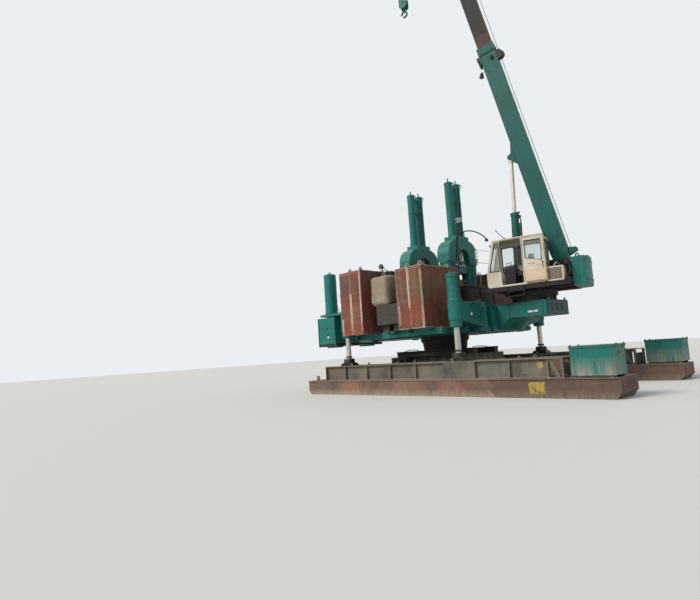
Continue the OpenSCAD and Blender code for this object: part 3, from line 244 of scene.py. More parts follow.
for number, y in enumerate((-0.98, -0.88)):
    hose(f"cooler_hose_{number}", crane_axis, [
        (0.95, y, 4.1), (0.955, y, 4.17), (0.985, y + 0.04, 4.25), (1.03, y + 0.15, 4.28),
            (1.06, y + 0.3, 4.23),
        (1.065, -0.48, 4.12 - number * 0.05), (1.06, -0.35, 4.04 - number * 0.07),
            (1.05, -0.265, 4.02 - number * 0.08)],
        cooler_hose_r, "crane", pale_rubber)
for number, y in enumerate((-0.34, -0.27)):
    hose(f"lift_hose_{number}", crane_axis, [
        (-0.02, y, 3.62), (-0.02, y, 3.7), (-0.04, y + 0.005, 3.79), (-0.11, y + 0.02, 3.87),
            (-0.21, y + 0.05, 3.9),
        (-0.31, y + 0.09, 3.89), (-0.38, -0.17, 3.87 - number * 0.03),
            (-0.44, -0.141, 3.86 - number * 0.05)], column_hose_r, "crane")


# Long hulls: welded box pontoons of thick plate that lie on the ground. The
# paint is long gone, so their sides show scraped brown rust, faded primer
# and dried mud, with plate seams, rail clips, manholes and rubbed edges.
up, down = (0, 0, 1), (0, 0, -1)


class Bench:
    """Gathers plates, bars, pipes, bolts and welds into one piece."""

    def __init__(self, place=pile_axis):
        self.place = place
        self.stuff = bmesh.new()

    def put(self, points, faces):
        made = [self.stuff.verts.new(self.place @ Vector(p)) for p in points]
        for face in faces:
            self.stuff.faces.new([made[i] for i in face])

    def block(self, low, high, cut=0.004):
        """A plate or box with its edges broken."""
        corners = [(a, b, c) for a in (0, 1) for b in (0, 1) for c in (0, 1)]
        cut = min(cut, 0.45 * min(b - a for a, b in zip(low, high)))
        points, name = [], {}
        for corner in corners:
            for axis in range(3):
                name[corner, axis] = len(points)
                points.append([
                    (low, high)[s][i] + (0 if i == axis else (cut, -cut)[s]) for i, s in enumerate(corner)])
        faces = [[name[c, 0], name[c, 1], name[c, 2]] for c in corners]
        for axis in range(3):
            one, two = [i for i in range(3) if i != axis]
            for side in (0, 1):
                loop = []
                for s, t in ((0, 0), (1, 0), (1, 1), (0, 1)):
                    corner = [side] * 3
                    corner[one], corner[two] = s, t
                    loop.append(name[tuple(corner), axis])
                faces.append(loop)
            for s in (0, 1):
                for t in (0, 1):
                    a, b = [0] * 3, [0] * 3
                    a[one] = b[one] = s
                    a[two] = b[two] = t
                    a[axis], b[axis] = 0, 1
                    a, b = tuple(a), tuple(b)
                    faces.append([name[a, one], name[b, one], name[b, two], name[a, two]])
        self.put(points, faces)

    def pad(self, middle, half, low, high, cut=0.004):
        """A block about a middle in x and y, from one height to another."""
        (x, y), (a, b) = middle, half
        self.block((x - a, y - b, low), (x + a, y + b, high), cut)

    def plate(self, outline, depth):
        """A flat outline of 3-D points, carried along depth."""
        depth = Vector(depth)
        near = [Vector(p) for p in outline]
        n = len(near)
        faces = [list(range(n)), list(range(n, 2 * n))]
        faces += [[i, (i + 1) % n, n + (i + 1) % n, n + i] for i in range(n)]
        self.put(near + [p + depth for p in near], faces)

    def spin(self, at, axis, profile, sides=20):
        """A turned part: profile rows are radius and distance along the axis."""
        way = Vector(axis).normalized().to_track_quat("Z", "Y").to_matrix()
        at = Vector(at)
        points, faces, rings = [], [], []
        for radius, along in profile:
            if radius <= 0:
                rings.append([len(points)])
                points.append(at + way @ Vector((0, 0, along)))
                continue
            rings.append(list(range(len(points), len(points) + sides)))
            for step in range(sides):
                a = 2 * math.pi * step / sides
                points.append(at + way @ Vector((radius * math.cos(a), radius * math.sin(a), along)))
        for one, two in zip(rings, rings[1:]):
            for step in range(sides):
                after = (step + 1) % sides
                loop = [one[step % len(one)], one[after % len(one)], two[after % len(two)],
                    two[step % len(two)]]
                faces.append(list(dict.fromkeys(loop)))
        self.put(points, [f for f in faces if len(f) > 2])

    def nut(self, at, axis, radius, tall, sides=6):
        self.spin(at, axis, [(0, 0), (radius, 0), (radius, tall), (0, tall)], sides)

    def cap(self, at, axis, radius, tall, top, high, sides=20, foot=-0.002):
        """A round cover with a bevelled rim, sunk a little into its seat."""
        self.spin(at, axis, [(0, foot), (radius, foot), (radius, tall), (top, high), (0, high)], sides)

    def band(self, at, axis, inner, outer, tall, sides=36, edge=0.0):
        """A strap round a tube, its edges sloped by edge."""
        self.spin(at, axis, [(inner, 0), (outer, edge), (outer, tall), (inner, tall + edge)], sides)

    def bar(self, a, b, radius, sides=16):
        """A round bar with chamfered ends."""
        a, b = Vector(a), Vector(b)
        long, cut = (b - a).length, 0.16 * radius
        self.spin(a, b - a, [(0, 0), (radius - cut, 0), (radius, cut), (radius, long - cut),
            (radius - cut, long), (0, long)], sides)

    def handle(self, x, y, foot, top, radius):
        """A grip along x on two posts, 140 mm wide."""
        self.bar((x - 0.07, y, top), (x + 0.07, y, top), radius)
        for s in (-0.07, 0.07):
            self.bar((x + s, y, foot), (x + s, y, top + 0.005), radius)

    def tube(self, points, radius, sides=8, steps=6, rough=0.0):
        """A pipe, hose or weld bead along a smooth line."""
        line = smooth(points, steps) if len(points) > 2 else [Vector(p) for p in points]
        if rough:
            a, b = line[0], line[-1]
            count = max(2, int((b - a).length / 0.035))
            line = [a.lerp(b, i / count) for i in range(count + 1)]
        side = (line[1] - line[0]).orthogonal().normalized()
        rings, spots = [], []
        for i, at in enumerate(line):
            along = (line[min(i + 1, len(line) - 1)] - line[max(i - 1, 0)]).normalized()
            side = (side - along * side.dot(along)).normalized()
            other = along.cross(side)
            wide = radius * (1 + rough * chance.uniform(-1, 1))
            rings.append(list(range(len(spots), len(spots) + sides)))
            for step in range(sides):
                a = 2 * math.pi * step / sides
                spots.append(at + wide * (side * math.cos(a) + other * math.sin(a)))
        faces = [rings[0], rings[-1]]
        for one, two in zip(rings, rings[1:]):
            faces += [[one[s], one[(s + 1) % sides], two[(s + 1) % sides], two[s]] for s in range(sides)]
        self.put(spots, faces)

    def weld(self, a, b, radius=0.007):
        self.tube([a, b], radius, sides=6, rough=0.28)

    def frame(self, low, high, radius=0.007):
        """Weld round the rectangle between two corners that share one coordinate."""
        flat = [i for i in range(3) if low[i] == high[i]][0]
        one, two = [i for i in range(3) if i != flat]
        loop = []
        for s, t in ((0, 0), (1, 0), (1, 1), (0, 1)):
            p = list(low)
            p[one], p[two] = (low, high)[s][one], (low, high)[t][two]
            loop.append(p)
        for a, b in zip(loop, loop[1:] + loop[:1]):
            self.weld(a, b, radius)

    def bolts(self, spots, axis, radius=0.018, tall=0.014):
        """Hexagon heads on washers."""
        for at in spots:
            self.spin(at, axis, [(0, -0.004), (radius * 1.35, -0.004), (radius * 1.35, 0.004), (0, 0.004)],
                12)
            self.spin(at, axis, [(0, 0), (radius, 0), (radius, tall * 0.8),
                (radius * 0.82, tall), (0, tall)], 6)

    def bolt_ring(self, at, axis, ring, count, radius=0.018, tall=0.014, start=0.0):
        way = Vector(axis).normalized().to_track_quat("Z", "Y").to_matrix()
        self.bolts([Vector(at) + way @ Vector((ring * math.cos(a), ring * math.sin(a), 0))
            for a in (start + 2 * math.pi * i / count for i in range(count))], axis, radius, tall)

    def eye(self, at, along, up=(0, 0, 1), size=0.07, thick=0.025):
        """A lifting eye: a rounded plate with a hole, standing on at."""
        along, up = Vector(along).normalized(), Vector(up).normalized()
        across = along.cross(up)
        at = Vector(at) - across * thick / 2
        rings = []
        for radius in (size * 0.42, size):
            ring = []
            for step in range(20):
                a = 2 * math.pi * step / 20
                spot = along * radius * math.cos(a) + up * (size * 0.9 + radius * math.sin(a))
                if radius == size and math.sin(a) < -0.2:
                    spot = along * size * (1.25 if math.cos(a) > 0 else -1.25) * min(1,
                        abs(math.cos(a)) * 1.3) - up * 0.004
                ring.append(at + spot)
            rings.append(ring)
        deep = across * thick
        points = rings[0] + rings[1] + [p + deep for p in rings[0]] + [p + deep for p in rings[1]]
        faces = []
        for s in range(20):
            t = (s + 1) % 20
            faces += [[s, t, 20 + t, 20 + s], [40 + s, 40 + t, 60 + t, 60 + s], [s, t, 40 + t, 40 + s],
                [20 + s, 20 + t, 60 + t, 60 + s]]
        self.put(points, faces)

    def piece(self, name, body, skin, slot):
        bmesh.ops.recalc_face_normals(self.stuff, faces=self.stuff.faces[:])
        for face in self.stuff.faces:
            face.smooth = True
        for edge in self.stuff.edges:
            edge.smooth = len(edge.link_faces) == 2 and edge.calc_face_angle(0.0) < 0.6
        mesh = bpy.data.meshes.new(name)
        self.stuff.to_mesh(mesh)
        self.stuff.free()
        mesh.materials.append(skin)
        made = stand(name, mesh)
        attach(made, body)


def steel_skin(name, colour, dark, worn, streak=0.5, scrape=0.5, dusty=0.5, low=None, rough=0.7, metal=0.15,
        shift=0.0, fine=9.0, patches=()):
    """Weathered plate: blotches, run-down streaks, scraped edges and settled dust."""
    coat = Coat(name, rough, metal)
    blotch = coat.speckle(0.9, detail=5.0, shift=shift)
    grain = coat.speckle(fine, detail=8.0, rough=0.65, shift=shift)
    run = coat.speckle(1.0, stretch=(7.0, 7.0, 0.45), detail=5.0, shift=shift + 3.0)
    skin = coat.lay(coat.between(blotch, 0.35, 0.68), dark, colour)
    for tone, centre, amount in patches:
        area = coat.speckle(0.55, detail=4.0, shift=shift + centre)
        skin = coat.lay(coat.between(area, 0.5, 0.6, amount), skin, tone)
    skin = coat.lay(coat.between(run, 0.5, 0.72, streak), skin, dark)
    skin = coat.lay(coat.between(grain, 0.52, 0.74, 0.45), skin, worn)
    rub = coat.work("MULTIPLY", coat.edges(0.03), coat.between(grain, 0.3, 0.55, scrape * 1.6))
    skin = coat.lay(rub, skin, worn)
    settled = coat.work("MULTIPLY", coat.facing_up(), coat.between(blotch, 0.3, 0.6, dusty))
    skin = coat.lay(settled, skin, dust)
    if low:
        splash = coat.work("MULTIPLY", coat.height(*low), coat.between(run, 0.3, 0.62, 0.85))
        skin = coat.lay(splash, skin, dust)
    height = coat.work("ADD", coat.work("MULTIPLY", grain, 0.6), coat.work("MULTIPLY", run, 0.4))
    gloss = coat.add("ShaderNodeMapRange",
        {"Value": coat.between(grain, 0.3, 0.7), "To Min": rough - 0.12,
        "To Max": min(1.0, rough + 0.16)}).outputs[0]
    return coat, skin, height, gloss


def plain_steel(name, colour, dark, worn, depth, **more):
    """Weathered plate with nothing laid over it."""
    coat, skin, height, gloss = steel_skin(name, colour, dark, worn, **more)
    return coat.done(skin, height, depth, gloss)


def benches():
    """One bench on the middle line of each long hull, with its side and name."""
    for side, name in ((-1, "near"), (1, "far")):
        yield side, name, Bench(pile_axis @ Matrix.Translation((0, side * leg_line, 0)))


def dress(skin, *nodes):
    """Give CAD nodes a material."""
    for name in nodes:
        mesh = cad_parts[name].data
        mesh.materials.clear()
        mesh.materials.append(skin)


hull_half = 0.675
hull_top = 0.56
hull_ends = (-4.61, 7.95)
leg_line = 3.045
manhole_x = -3.9
rail_y = 0.275
seam_low, seam_high = 0.02, 0.522
mud_cakes = 46
coat, skin, height, gloss = steel_skin("hull_rust", (0.215, 0.13, 0.09), (0.105, 0.068, 0.052),
    (0.34, 0.26, 0.2), streak=0.6, scrape=0.9, low=(0.0, 0.26),
    patches=(((0.33, 0.15, 0.12), 40.0, 0.6), ((0.2, 0.15, 0.11), 47.0, 0.5)))
yellow = coat.work("MULTIPLY", coat.patch((4.62, -3.8, 0.13), (5.1, -3.7, 0.45), 0.03),
    coat.between(coat.speckle(16.0), 0.36, 0.52, 0.85))
# Painted shade: a dark patch laid over the crane end of each hull.
shade = coat.work("MULTIPLY", coat.patch((3.4, -4.2, -0.2), (7.4, 4.2, 0.8), 0.25), 0.5)
skin = coat.lay(shade, skin, (0.07, 0.046, 0.036))
hull_skin = coat.done(coat.lay(yellow, skin, (0.44, 0.33, 0.06)), height, 0.004, gloss)
dress(hull_skin, "hull_near", "hull_far")
for side, name, work in benches():
    for face in (-1, 1):
        y = face * hull_half
        for x in (-3.55, -1.45, 0.65, 2.75, 4.85, 6.45):
            work.weld((x, y, 0.02), (x, y, 0.525), 0.009)
        work.weld((hull_ends[0] + 0.15, y, seam_low), (hull_ends[1] - 0.15, y, seam_low), 0.008)
        work.weld((hull_ends[0] + 0.02, y, seam_high), (hull_ends[1] - 0.02, y, seam_high), 0.008)
        for x in (-4.25, 7.35):
            work.pad((x, y), (0.16, 0.011), 0.2, 0.42)
            work.frame((x - 0.16, y, 0.2), (x + 0.16, y, 0.42))
        for x in (-2.6, 1.7, 5.6):
            work.spin((x, y - face * 0.01, 0.29), (0, face, 0),
                [(0, 0), (0.055, 0), (0.055, 0.022), (0.045, 0.028), (0.03, 0.028),
                (0.026, 0.016), (0, 0.016)])
    for end in hull_ends:
        inward = 1 if end < 0 else -1
        for y in (-0.42, 0.42):
            work.block((end - 0.008, y - 0.09, 0.3), (end + 0.012, y + 0.09, 0.5))
        work.weld((end, -hull_half, 0.17), (end, hull_half, 0.17), 0.008)
        work.weld((end + inward * 0.05, -hull_half, hull_top + 0.001),
            (end + inward * 0.05, hull_half, hull_top + 0.001))
    for x in (-4.02, -3.78):
        work.weld((x, -0.66, hull_top), (x, 0.66, hull_top))
    work.spin((manhole_x, 0, hull_top), up, [(0.26, -0.01), (0.26, 0.012), (0.24, 0.016), (0, 0.016)], 32)
    work.bolt_ring((manhole_x, 0, hull_top + 0.017), up, 0.21, 10, 0.016)
    work.handle(manhole_x, 0, hull_top, hull_top + 0.045, 0.009)
    for run in (-1, 1):
        for clip in range(16):
            x = -3.3 + clip * 0.63
            for s in (-1, 1):
                y = run * rail_y + s * 0.065
                work.pad((x, y), (0.035, 0.032), hull_top, hull_top + 0.022)
                work.bolts([(x, y + s * 0.008, hull_top + 0.022)], up, 0.011, 0.012)
    work.piece(f"hull_fittings_{name}", f"ship_{name}", hull_skin, "rusty_steel")
    work = Bench(work.place)
    for cake in range(mud_cakes):
        x = chance.uniform(hull_ends[0] + 0.1, hull_ends[1] - 1.4)
        y = chance.choice((-1, 1)) * chance.uniform(0.6, 0.69)
        size = chance.uniform(0.02, 0.05)
        work.spin((x, y, hull_top - 0.002), (chance.uniform(-0.2, 0.2), chance.uniform(-0.2, 0.2), 1),
            [(size * 1.25, 0), (size, size * 0.32), (size * 0.45, size * 0.5), (0, size * 0.52)], 9)
    mud = plain_steel(f"dried_mud_{name}", (0.36, 0.26, 0.18), (0.24, 0.17, 0.12), (0.47, 0.37, 0.27),
        0.006, metal=0.0, rough=0.85, fine=26.0)
    work.piece(f"mud_cakes_{name}", f"ship_{name}", mud, "rusty_steel")

# Trough girders: webs and flanges of mill plate, grey-brown under a thin
# film of rust, welded stiffener by stiffener, with wear along the flange
# where chains are dragged over, and a red shackle left at the end.
girder_half = 0.555
girder_ends = (-3.6, 6.45)
girder_tail = 0.45
web_low, web_high, flange_top = 0.59, 1.1, 1.136
stiffeners = [girder_ends[0] + i * (girder_ends[1] - girder_tail - girder_ends[0]) / 8 for i in range(9)]
coat, skin, height, gloss = steel_skin("girder_plate", (0.165, 0.148, 0.112), (0.075, 0.068, 0.056),
    (0.27, 0.235, 0.19), streak=0.5, scrape=0.9, shift=11.0,
    patches=(((0.2, 0.125, 0.08), 52.0, 0.6), ((0.125, 0.132, 0.115), 58.0, 0.6),
    ((0.22, 0.2, 0.155), 63.0, 0.5)))
yellow = coat.work("MULTIPLY", coat.patch((4.84, -3.64, 0.84), (5.0, -3.44, 1.02), 0.02),
    coat.between(coat.speckle(18.0), 0.36, 0.5, 0.8))
girder_skin = coat.done(coat.lay(yellow, skin, (0.42, 0.34, 0.06)), height, 0.004, gloss)
dress(girder_skin, "girder_near", "girder_far")
for side, name, work in benches():
    for face in (-1, 1):
        web = face * (girder_half - 0.125)
        skin_y = web + face * 0.026
        out = face * (girder_half - 0.002)
        for x in stiffeners:
            for s in (-1, 1):
                work.weld((x + s * 0.014, skin_y, web_low), (x + s * 0.014, skin_y, web_high), 0.006)
        for a, b in zip(stiffeners, stiffeners[1:]):
            work.weld((a + 0.03, web + face * 0.028, 0.588), (b - 0.03, web + face * 0.028, 0.588), 0.006)
            work.weld((a + 0.03, web + face * 0.028, 1.102), (b - 0.03, web + face * 0.028, 1.102), 0.006)
        work.weld((girder_ends[0], out, 0.584), (girder_ends[1], out, 0.584), 0.006)
        for x in (-1.9, 1.9, 4.2):
            work.weld((x, face * (girder_half - 0.15), flange_top),
                (x, face * girder_half, flange_top), 0.006)
        for x in (stiffeners[2] + 0.4, stiffeners[7] + 0.5):
            work.pad((x, web + face * 0.012), (0.11, 0.018), 0.72, 0.98)
            work.frame((x - 0.11, web + face * 0.028, 0.72), (x + 0.11, web + face * 0.028, 0.98), 0.005)
        for x in stiffeners[1::2]:
            work.eye((x + 0.35, face * (girder_half - 0.06), 1.135), (1, 0, 0), size=0.045, thick=0.02)
    for x in (girder_ends[0], girder_ends[1]):
        s = -1 if x < 0 else 1
        work.bolts([(x + s * 0.002, y, z) for y in (-0.36, -0.12, 0.12, 0.36) for z in (0.68, 0.9)],
            (s, 0, 0), 0.016)
    work.piece(f"girder_fittings_{name}", f"ship_{name}", girder_skin, "girder_steel")
work = Bench(pile_axis @ Matrix.Translation((6.37, -3.5, 0.587)))
bow = [(-0.09, 0, 0.045), (-0.1, 0.01, 0.1), (-0.07, 0.02, 0.16), (0, 0.025, 0.185), (0.07, 0.02, 0.16),
    (0.1, 0.01, 0.1), (0.09, 0, 0.045)]
work.tube(bow, 0.017, 12)
work.bar((-0.13, 0, 0.045), (0.14, 0, 0.045), 0.02)
work.nut((0.12, 0, 0.045), (1, 0, 0), 0.034, 0.028)
for s in (-1, 1):
    work.spin((s * 0.09 - 0.02, 0, 0.045), (1, 0, 0),
        [(0, 0), (0.036, 0.004), (0.04, 0.02), (0.036, 0.036), (0, 0.04)])
shackle_red = plain_steel("shackle_red", (0.36, 0.05, 0.03), (0.16, 0.05, 0.04), (0.3, 0.2, 0.15), 0.001,
    scrape=0.8, fine=40.0)
work.piece("deck_shackle", "ship_near", shackle_red, "rusty_steel")

# Toolboxes: open bins folded from plate, welded at the corners under an
# angle rim, on two skids at the crane end of each hull. Their paint is the
# machine's teal, chipped at the rim; the outer faces are left plain.
def teal_skin(name, lift=1.0, wear=0.35, low=None, shift=0.0, marks=()):
    """Teal machine paint: sooty streaks, rubbed edges, flakes and settled dust."""
    # lift scales the base teal: the boom's darker copy is painted shade, the side press's brighter copy is
    # painted light.
    base = tuple(c * lift for c in (0.008, 0.172, 0.148))
    coat = Coat(name, 0.42)
    blotch = coat.speckle(0.7, detail=5.0, shift=shift)
    grain = coat.speckle(12.0, detail=8.0, rough=0.7, shift=shift)
    run = coat.speckle(1.0, stretch=(8.0, 8.0, 0.5), detail=5.0, shift=shift + 5.0)
    skin = coat.lay(coat.between(blotch, 0.32, 0.68), tuple(c * 0.66 for c in base), base)
    skin = coat.lay(coat.between(grain, 0.48, 0.75, 0.35), skin, tuple(c * 0.9 + 0.03 for c in base))
    skin = coat.lay(coat.between(run, 0.54, 0.74, 0.55), skin, (0.02, 0.04, 0.032))
    chip = coat.work("MULTIPLY", coat.edges(0.02), coat.between(grain, 0.46, 0.56, wear * 2.2))
    skin = coat.lay(chip, skin, (0.17, 0.085, 0.05))
    flake = coat.work("MULTIPLY", coat.between(coat.speckle(3.1, shift=shift), 0.62, 0.68),
        coat.between(grain, 0.44, 0.52, wear))
    skin = coat.lay(flake, skin, (0.2, 0.11, 0.07))
    settled = coat.work("MULTIPLY", coat.facing_up(), coat.between(blotch, 0.34, 0.66, 0.45))
    skin = coat.lay(settled, skin, (0.3, 0.29, 0.22))
    if low:
        splash = coat.work("MULTIPLY", coat.height(*low), coat.between(run, 0.35, 0.62, 0.8))
        skin = coat.lay(splash, skin, dust)
    for corner, far_corner, tone in marks:
        skin = coat.lay(coat.work("MULTIPLY", coat.patch(corner, far_corner, 0.002),
            coat.between(grain, 0.3, 0.42)), skin, tone)
    gloss = coat.add("ShaderNodeMapRange", {"Value": grain, "To Min": 0.34, "To Max": 0.6}).outputs[0]
    return coat.done(skin, coat.work("ADD", grain, coat.work("MULTIPLY", chip, -0.6)), 0.002, gloss)


bin_low, bin_high = (6.72, -0.645, 0.62), (7.86, 0.205, 1.42)
rim_low, floor_seam = 1.356, 0.622
bin_teal = teal_skin("toolbox_teal", 0.95, wear=1.0, low=(0.5, 1.15), shift=9.0)
dress(bin_teal, "toolbox_near", "toolbox_far")
for side, name in ((-1, "near"), (1, "far")):
    flip = Matrix.Diagonal((1, -side, 1, 1))
    work = Bench(pile_axis @ Matrix.Translation((0, side * leg_line, 0)) @ flip)
    for x in (bin_low[0], bin_high[0]):
        s = -1 if x == bin_low[0] else 1
        for y in (-0.5, 0.06):
            work.eye((x + s * 0.028, y, 1.36), (0, 1, 0), size=0.05, thick=0.03)
        work.bar((x + s * 0.06, -0.33, 1.2), (x + s * 0.06, -0.11, 1.2), 0.011)
        for y in (-0.33, -0.11):
            work.bar((x + s * 0.002, y, 1.2), (x + s * 0.065, y, 1.2), 0.011)
        for y in (bin_low[1], bin_high[1]):
            work.weld((x, y, 0.63), (x, y, 1.355), 0.008)
        work.weld((x, bin_low[1] + 0.02, rim_low), (x, bin_high[1] - 0.02, rim_low), 0.006)
    for y in (bin_low[1], bin_high[1]):
        s = -1 if y == bin_low[1] else 1
        work.weld((bin_low[0] + 0.02, y, rim_low), (bin_high[0] - 0.02, y, rim_low), 0.006)
        work.weld((bin_low[0] + 0.03, y, floor_seam), (bin_high[0] - 0.03, y, floor_seam), 0.006)
        for x in (6.8, 7.29, 7.78):
            work.pad((x, y), (0.03, 0.006), 0.66, 1.34, 0.002)
        work.bolts([(x, y + s * 0.026, 1.39) for x in (6.82, 7.06, 7.52, 7.76)], (0, s, 0), 0.01, 0.008)
    for x in (6.8, 7.76):
        for y in (-0.585, 0.145):
            work.pad((x, y), (0.03, 0.075), 0.556, 0.578, 0.003)
            work.bolts([(x, y + t, 0.578) for t in (-0.058, 0.058)], up, 0.01, 0.01)
    work.piece(f"toolbox_trim_{name}", f"ship_{name}", bin_teal, "teal_paint")

# Trolleys: greasy cast carriages on four flanged wheels, with a bolted
# keeper ring over the ball of the leg, axle caps and grease nipples.
leg_spots = (-2.7, 2.7)
axle_height = 0.7603
axle_reach = 0.36
cheek = 0.212
dark_skin = plain_steel("dark_grease", (0.04, 0.037, 0.033), (0.018, 0.018, 0.018), (0.13, 0.1, 0.075),
    0.003, dusty=0.45, rough=0.52, metal=0.3)
dress(dark_skin, "trolleys_near", "trolleys_far", "hinge_pins")
for side, name, work in benches():
    for x in leg_spots:
        work.spin((x, 0, 1.375), up,
            [(0.155, 0), (0.21, 0), (0.21, 0.022), (0.2, 0.03), (0.155, 0.03), (0.155, 0)], 32)
        work.bolt_ring((x, 0, 1.405), up, 0.185, 10, 0.014, 0.016)
        for s in (-1, 1):
            axle = x + s * axle_reach
            for face in (-1, 1):
                work.spin((axle, face * 0.35, axle_height), (0, face, 0),
                    [(0, 0), (0.072, 0), (0.072, 0.014), (0.055, 0.022), (0.018, 0.022),
                    (0.014, 0.034), (0, 0.034)])
                work.bolt_ring((axle, face * 0.364, axle_height), (0, face, 0), 0.056, 6, 0.008, 0.008)
                work.pad((axle, face * 0.21), (0.05, 0.006), 0.69, 0.845, 0.003)
                work.bolts([(axle + t, face * 0.216, 0.825) for t in (-0.03, 0.03)],
                    (0, face, 0), 0.009, 0.009)
            if (x, s) != (leg_spots[0], -1):
                work.block((x + s * 0.551, -0.13, 0.715), (x + s * 0.585, 0.13, 0.815), 0.006)
            for face in (-1, 1):
                work.weld((x + s * 0.26, face * 0.19, 1.231), (x + s * 0.05, face * 0.19, 1.231), 0.006)
                work.plate([(x + s * 0.21, face * cheek, 0.85), (x + s * 0.33, face * cheek, 0.85),
                    (x + s * 0.245, face * cheek, 1.16), (x + s * 0.2, face * cheek, 1.16)],
                    (0, face * 0.014, 0))
        for face in (-1, 1):
            work.tube([(x - 0.14, face * 0.214, 0.95), (x - 0.05, face * 0.222, 1.02),
                (x + 0.05, face * 0.222, 1.02), (x + 0.14, face * 0.214, 0.95)], 0.007)
    work.piece(f"trolley_fittings_{name}", f"legs_{name}", dark_skin, "dark_steel")

# Leg rods: hard-chromed rods as thick as a thigh, dulled by dust above the
# grease, standing on their trolleys' balls.
rod_skin = plain_steel("rod_chrome", (0.62, 0.6, 0.56), (0.46, 0.44, 0.4), (0.72, 0.71, 0.68), 0.0006,
    streak=0.35, dusty=0.2, rough=0.3, metal=0.65)
dress(rod_skin, "leg_rods_near", "leg_rods_far", "press_rods", "side_rods")
for side, name, work in benches():
    for x in leg_spots:
        work.spin((x, 0, 1.455), up,
            [(0.099, 0), (0.125, 0), (0.132, 0.008), (0.132, 0.045), (0.118, 0.06), (0.099, 0.06)], 28)
        work.bolt_ring((x, 0, 1.487), up, 0.128, 6, 0.009, 0.012)
    work.piece(f"rod_collars_{name}", f"legs_{name}", dark_skin, "dark_steel")

# Leg cylinders: thick teal barrels hung by a flange in the arm sleeves, with
# a bolted gland below, a bolted cap above, clamp straps and two steel pipes.
# shade_tone is painted shade: a dark patch over the end face of the tail beam.
plate_tone, band_tone, shade_tone = (0.58, 0.66, 0.62), (0.62, 0.66, 0.64), (0.006, 0.05, 0.044)
machine_teal = teal_skin("machine_teal", marks=[
    ((3.364, -0.806, 2.645), (3.565, -0.796, 2.715), plate_tone),
    ((3.6, -0.806, 2.645), (3.735, -0.796, 2.715), plate_tone),
    ((-0.01, 0.1, 6.76), (0.34, 0.44, 6.98), band_tone),
    ((4.03, -0.9, 2.3), (4.25, 0.9, 3.2), shade_tone),
])
dress(machine_teal, "leg_barrels", "main_body", "tail_beam", "outrigger_arms", "ballast_racks",
    "press_frames", "press_cylinders", "clamp_box", "crane_weight", "hook_block")
barrel_r = 0.215
for side in (-1, 1):
    for x in leg_spots:
        spot = pile_axis @ Matrix.Translation((x, side * leg_line, 0))
        tag = f"{'near' if side < 0 else 'far'}_{'crane' if x > 0 else 'press'}"
        work = Bench(spot)
        work.bolt_ring((0, 0, 2.3), down, 0.197, 12, 0.013, 0.016)
        work.spin((0, 0, 2.272), up, [(0.103, 0), (0.172, 0), (0.178, 0.01), (0.103, 0.01)], 28)
        work.bolt_ring((0, 0, 3.211), up, 0.2305, 16, 0.012, 0.018, start=0.1)
        work.spin((0, 0, 4.1), up,
            [(0.2, -0.002), (0.226, 0.004), (0.226, 0.028), (0.2, 0.04), (0.072, 0.044)], 36)
        work.bolt_ring((0, 0, 4.14), up, 0.15, 10, 0.015, 0.018)
        for z in (3.52, 3.8):
            work.band((0, 0, z), up, barrel_r - 0.002, barrel_r + 0.009, 0.045, 40)
            work.block((barrel_r - 0.01, -0.055, z - 0.004), (barrel_r + 0.028, 0.055, z + 0.049))
        for s in (-1, 1):
            work.eye((0, s * 0.12, 4.142), (1, 0, 0), size=0.045, thick=0.02)
        work.piece(f"leg_barrel_bands_{tag}", "machine", machine_teal, "teal_paint")
        work = Bench(spot)
        for y in (-0.028, 0.028):
            work.tube([(0.15, y, 4.03), (0.245, y, 4.03), (0.262, y, 3.99), (0.262, y, 3.5),
                (0.272, y, 3.3), (0.275, y, 3.245), (0.3, y, 3.165)], 0.013)
            work.nut((0.215, y, 4.03), (1, 0, 0), 0.024, 0.02)
        work.block((0.255, -0.05, 3.66), (0.285, 0.05, 3.72))
        work.bolts([(0.285, 0, 3.69)], (1, 0, 0), 0.009, 0.01)
        work.block((0.2, -0.07, 4.07), (0.3, 0.07, 4.135), 0.006)
        work.bolts([(0.25, y, 4.135) for y in (-0.045, 0.045)], up, 0.011, 0.01)
        work.piece(f"leg_pipes_{tag}", "machine", dark_skin, "dark_steel")

# Outrigger arms: tapered box arms that carry the leg cylinders out to the
# hulls, with pipe runs, gussets at the hinge and, on the near crane-side
# arm, one round white reflector.
arm_half = 0.19
hinge_line = 1.4
arm_top = 3.15
arm_work = Bench()
pipe_work = Bench()
for side in (-1, 1):
    for x in leg_spots:
        for s in (-1, 1):
            face = x + s * (arm_half + 0.002)
            arm_work.weld((face, side * 1.72, 2.3), (face, side * 2.62, 2.515), 0.008)
            arm_work.weld((face, side * 1.74, arm_top - 0.035), (face, side * 2.8, arm_top - 0.035), 0.008)
            arm_work.weld((x + s * 0.16, side * 1.725, 2.44), (x + s * 0.16, side * 1.725, 3.08))
            arm_work.weld((x + s * 0.16, side * 2.63, 2.62), (x + s * 0.16, side * 2.63, 3.08))
            arm_work.plate([(x + s * 0.165, side * 2.05, 3.085), (x + s * 0.165, side * 2.3, 3.085),
                (x + s * 0.165, side * 2.175, 2.9)], (s * 0.018, 0, 0))
            arm_work.plate([(x + s * 0.05, side * 1.62, arm_top), (x + s * 0.05, side * 1.9, arm_top),
                (x + s * 0.05, side * 1.64, arm_top + 0.1)], (s * 0.02, 0, 0))
            pipe_work.tube([(x + s * 0.125, side * 2.8, arm_top + 0.018),
                (x + s * 0.125, side * 2.4, arm_top + 0.018), (x + s * 0.1, side * 1.96, arm_top + 0.018)],
                0.013)
        arm_work.pad((x, side * 2.36), (0.15, 0.03), arm_top - 0.004, arm_top + 0.038, 0.005)
        arm_work.bolts([(x + t, side * 2.36, arm_top + 0.038) for t in (-0.05, 0.05)], up, 0.012, 0.012)
        arm_work.eye((x, side * 2.6, arm_top), (1, 0, 0), size=0.06)
arm_work.piece("arm_fittings", "machine", machine_teal, "teal_paint")
pipe_work.piece("arm_pipes", "machine", dark_skin, "dark_steel")
work = Bench()
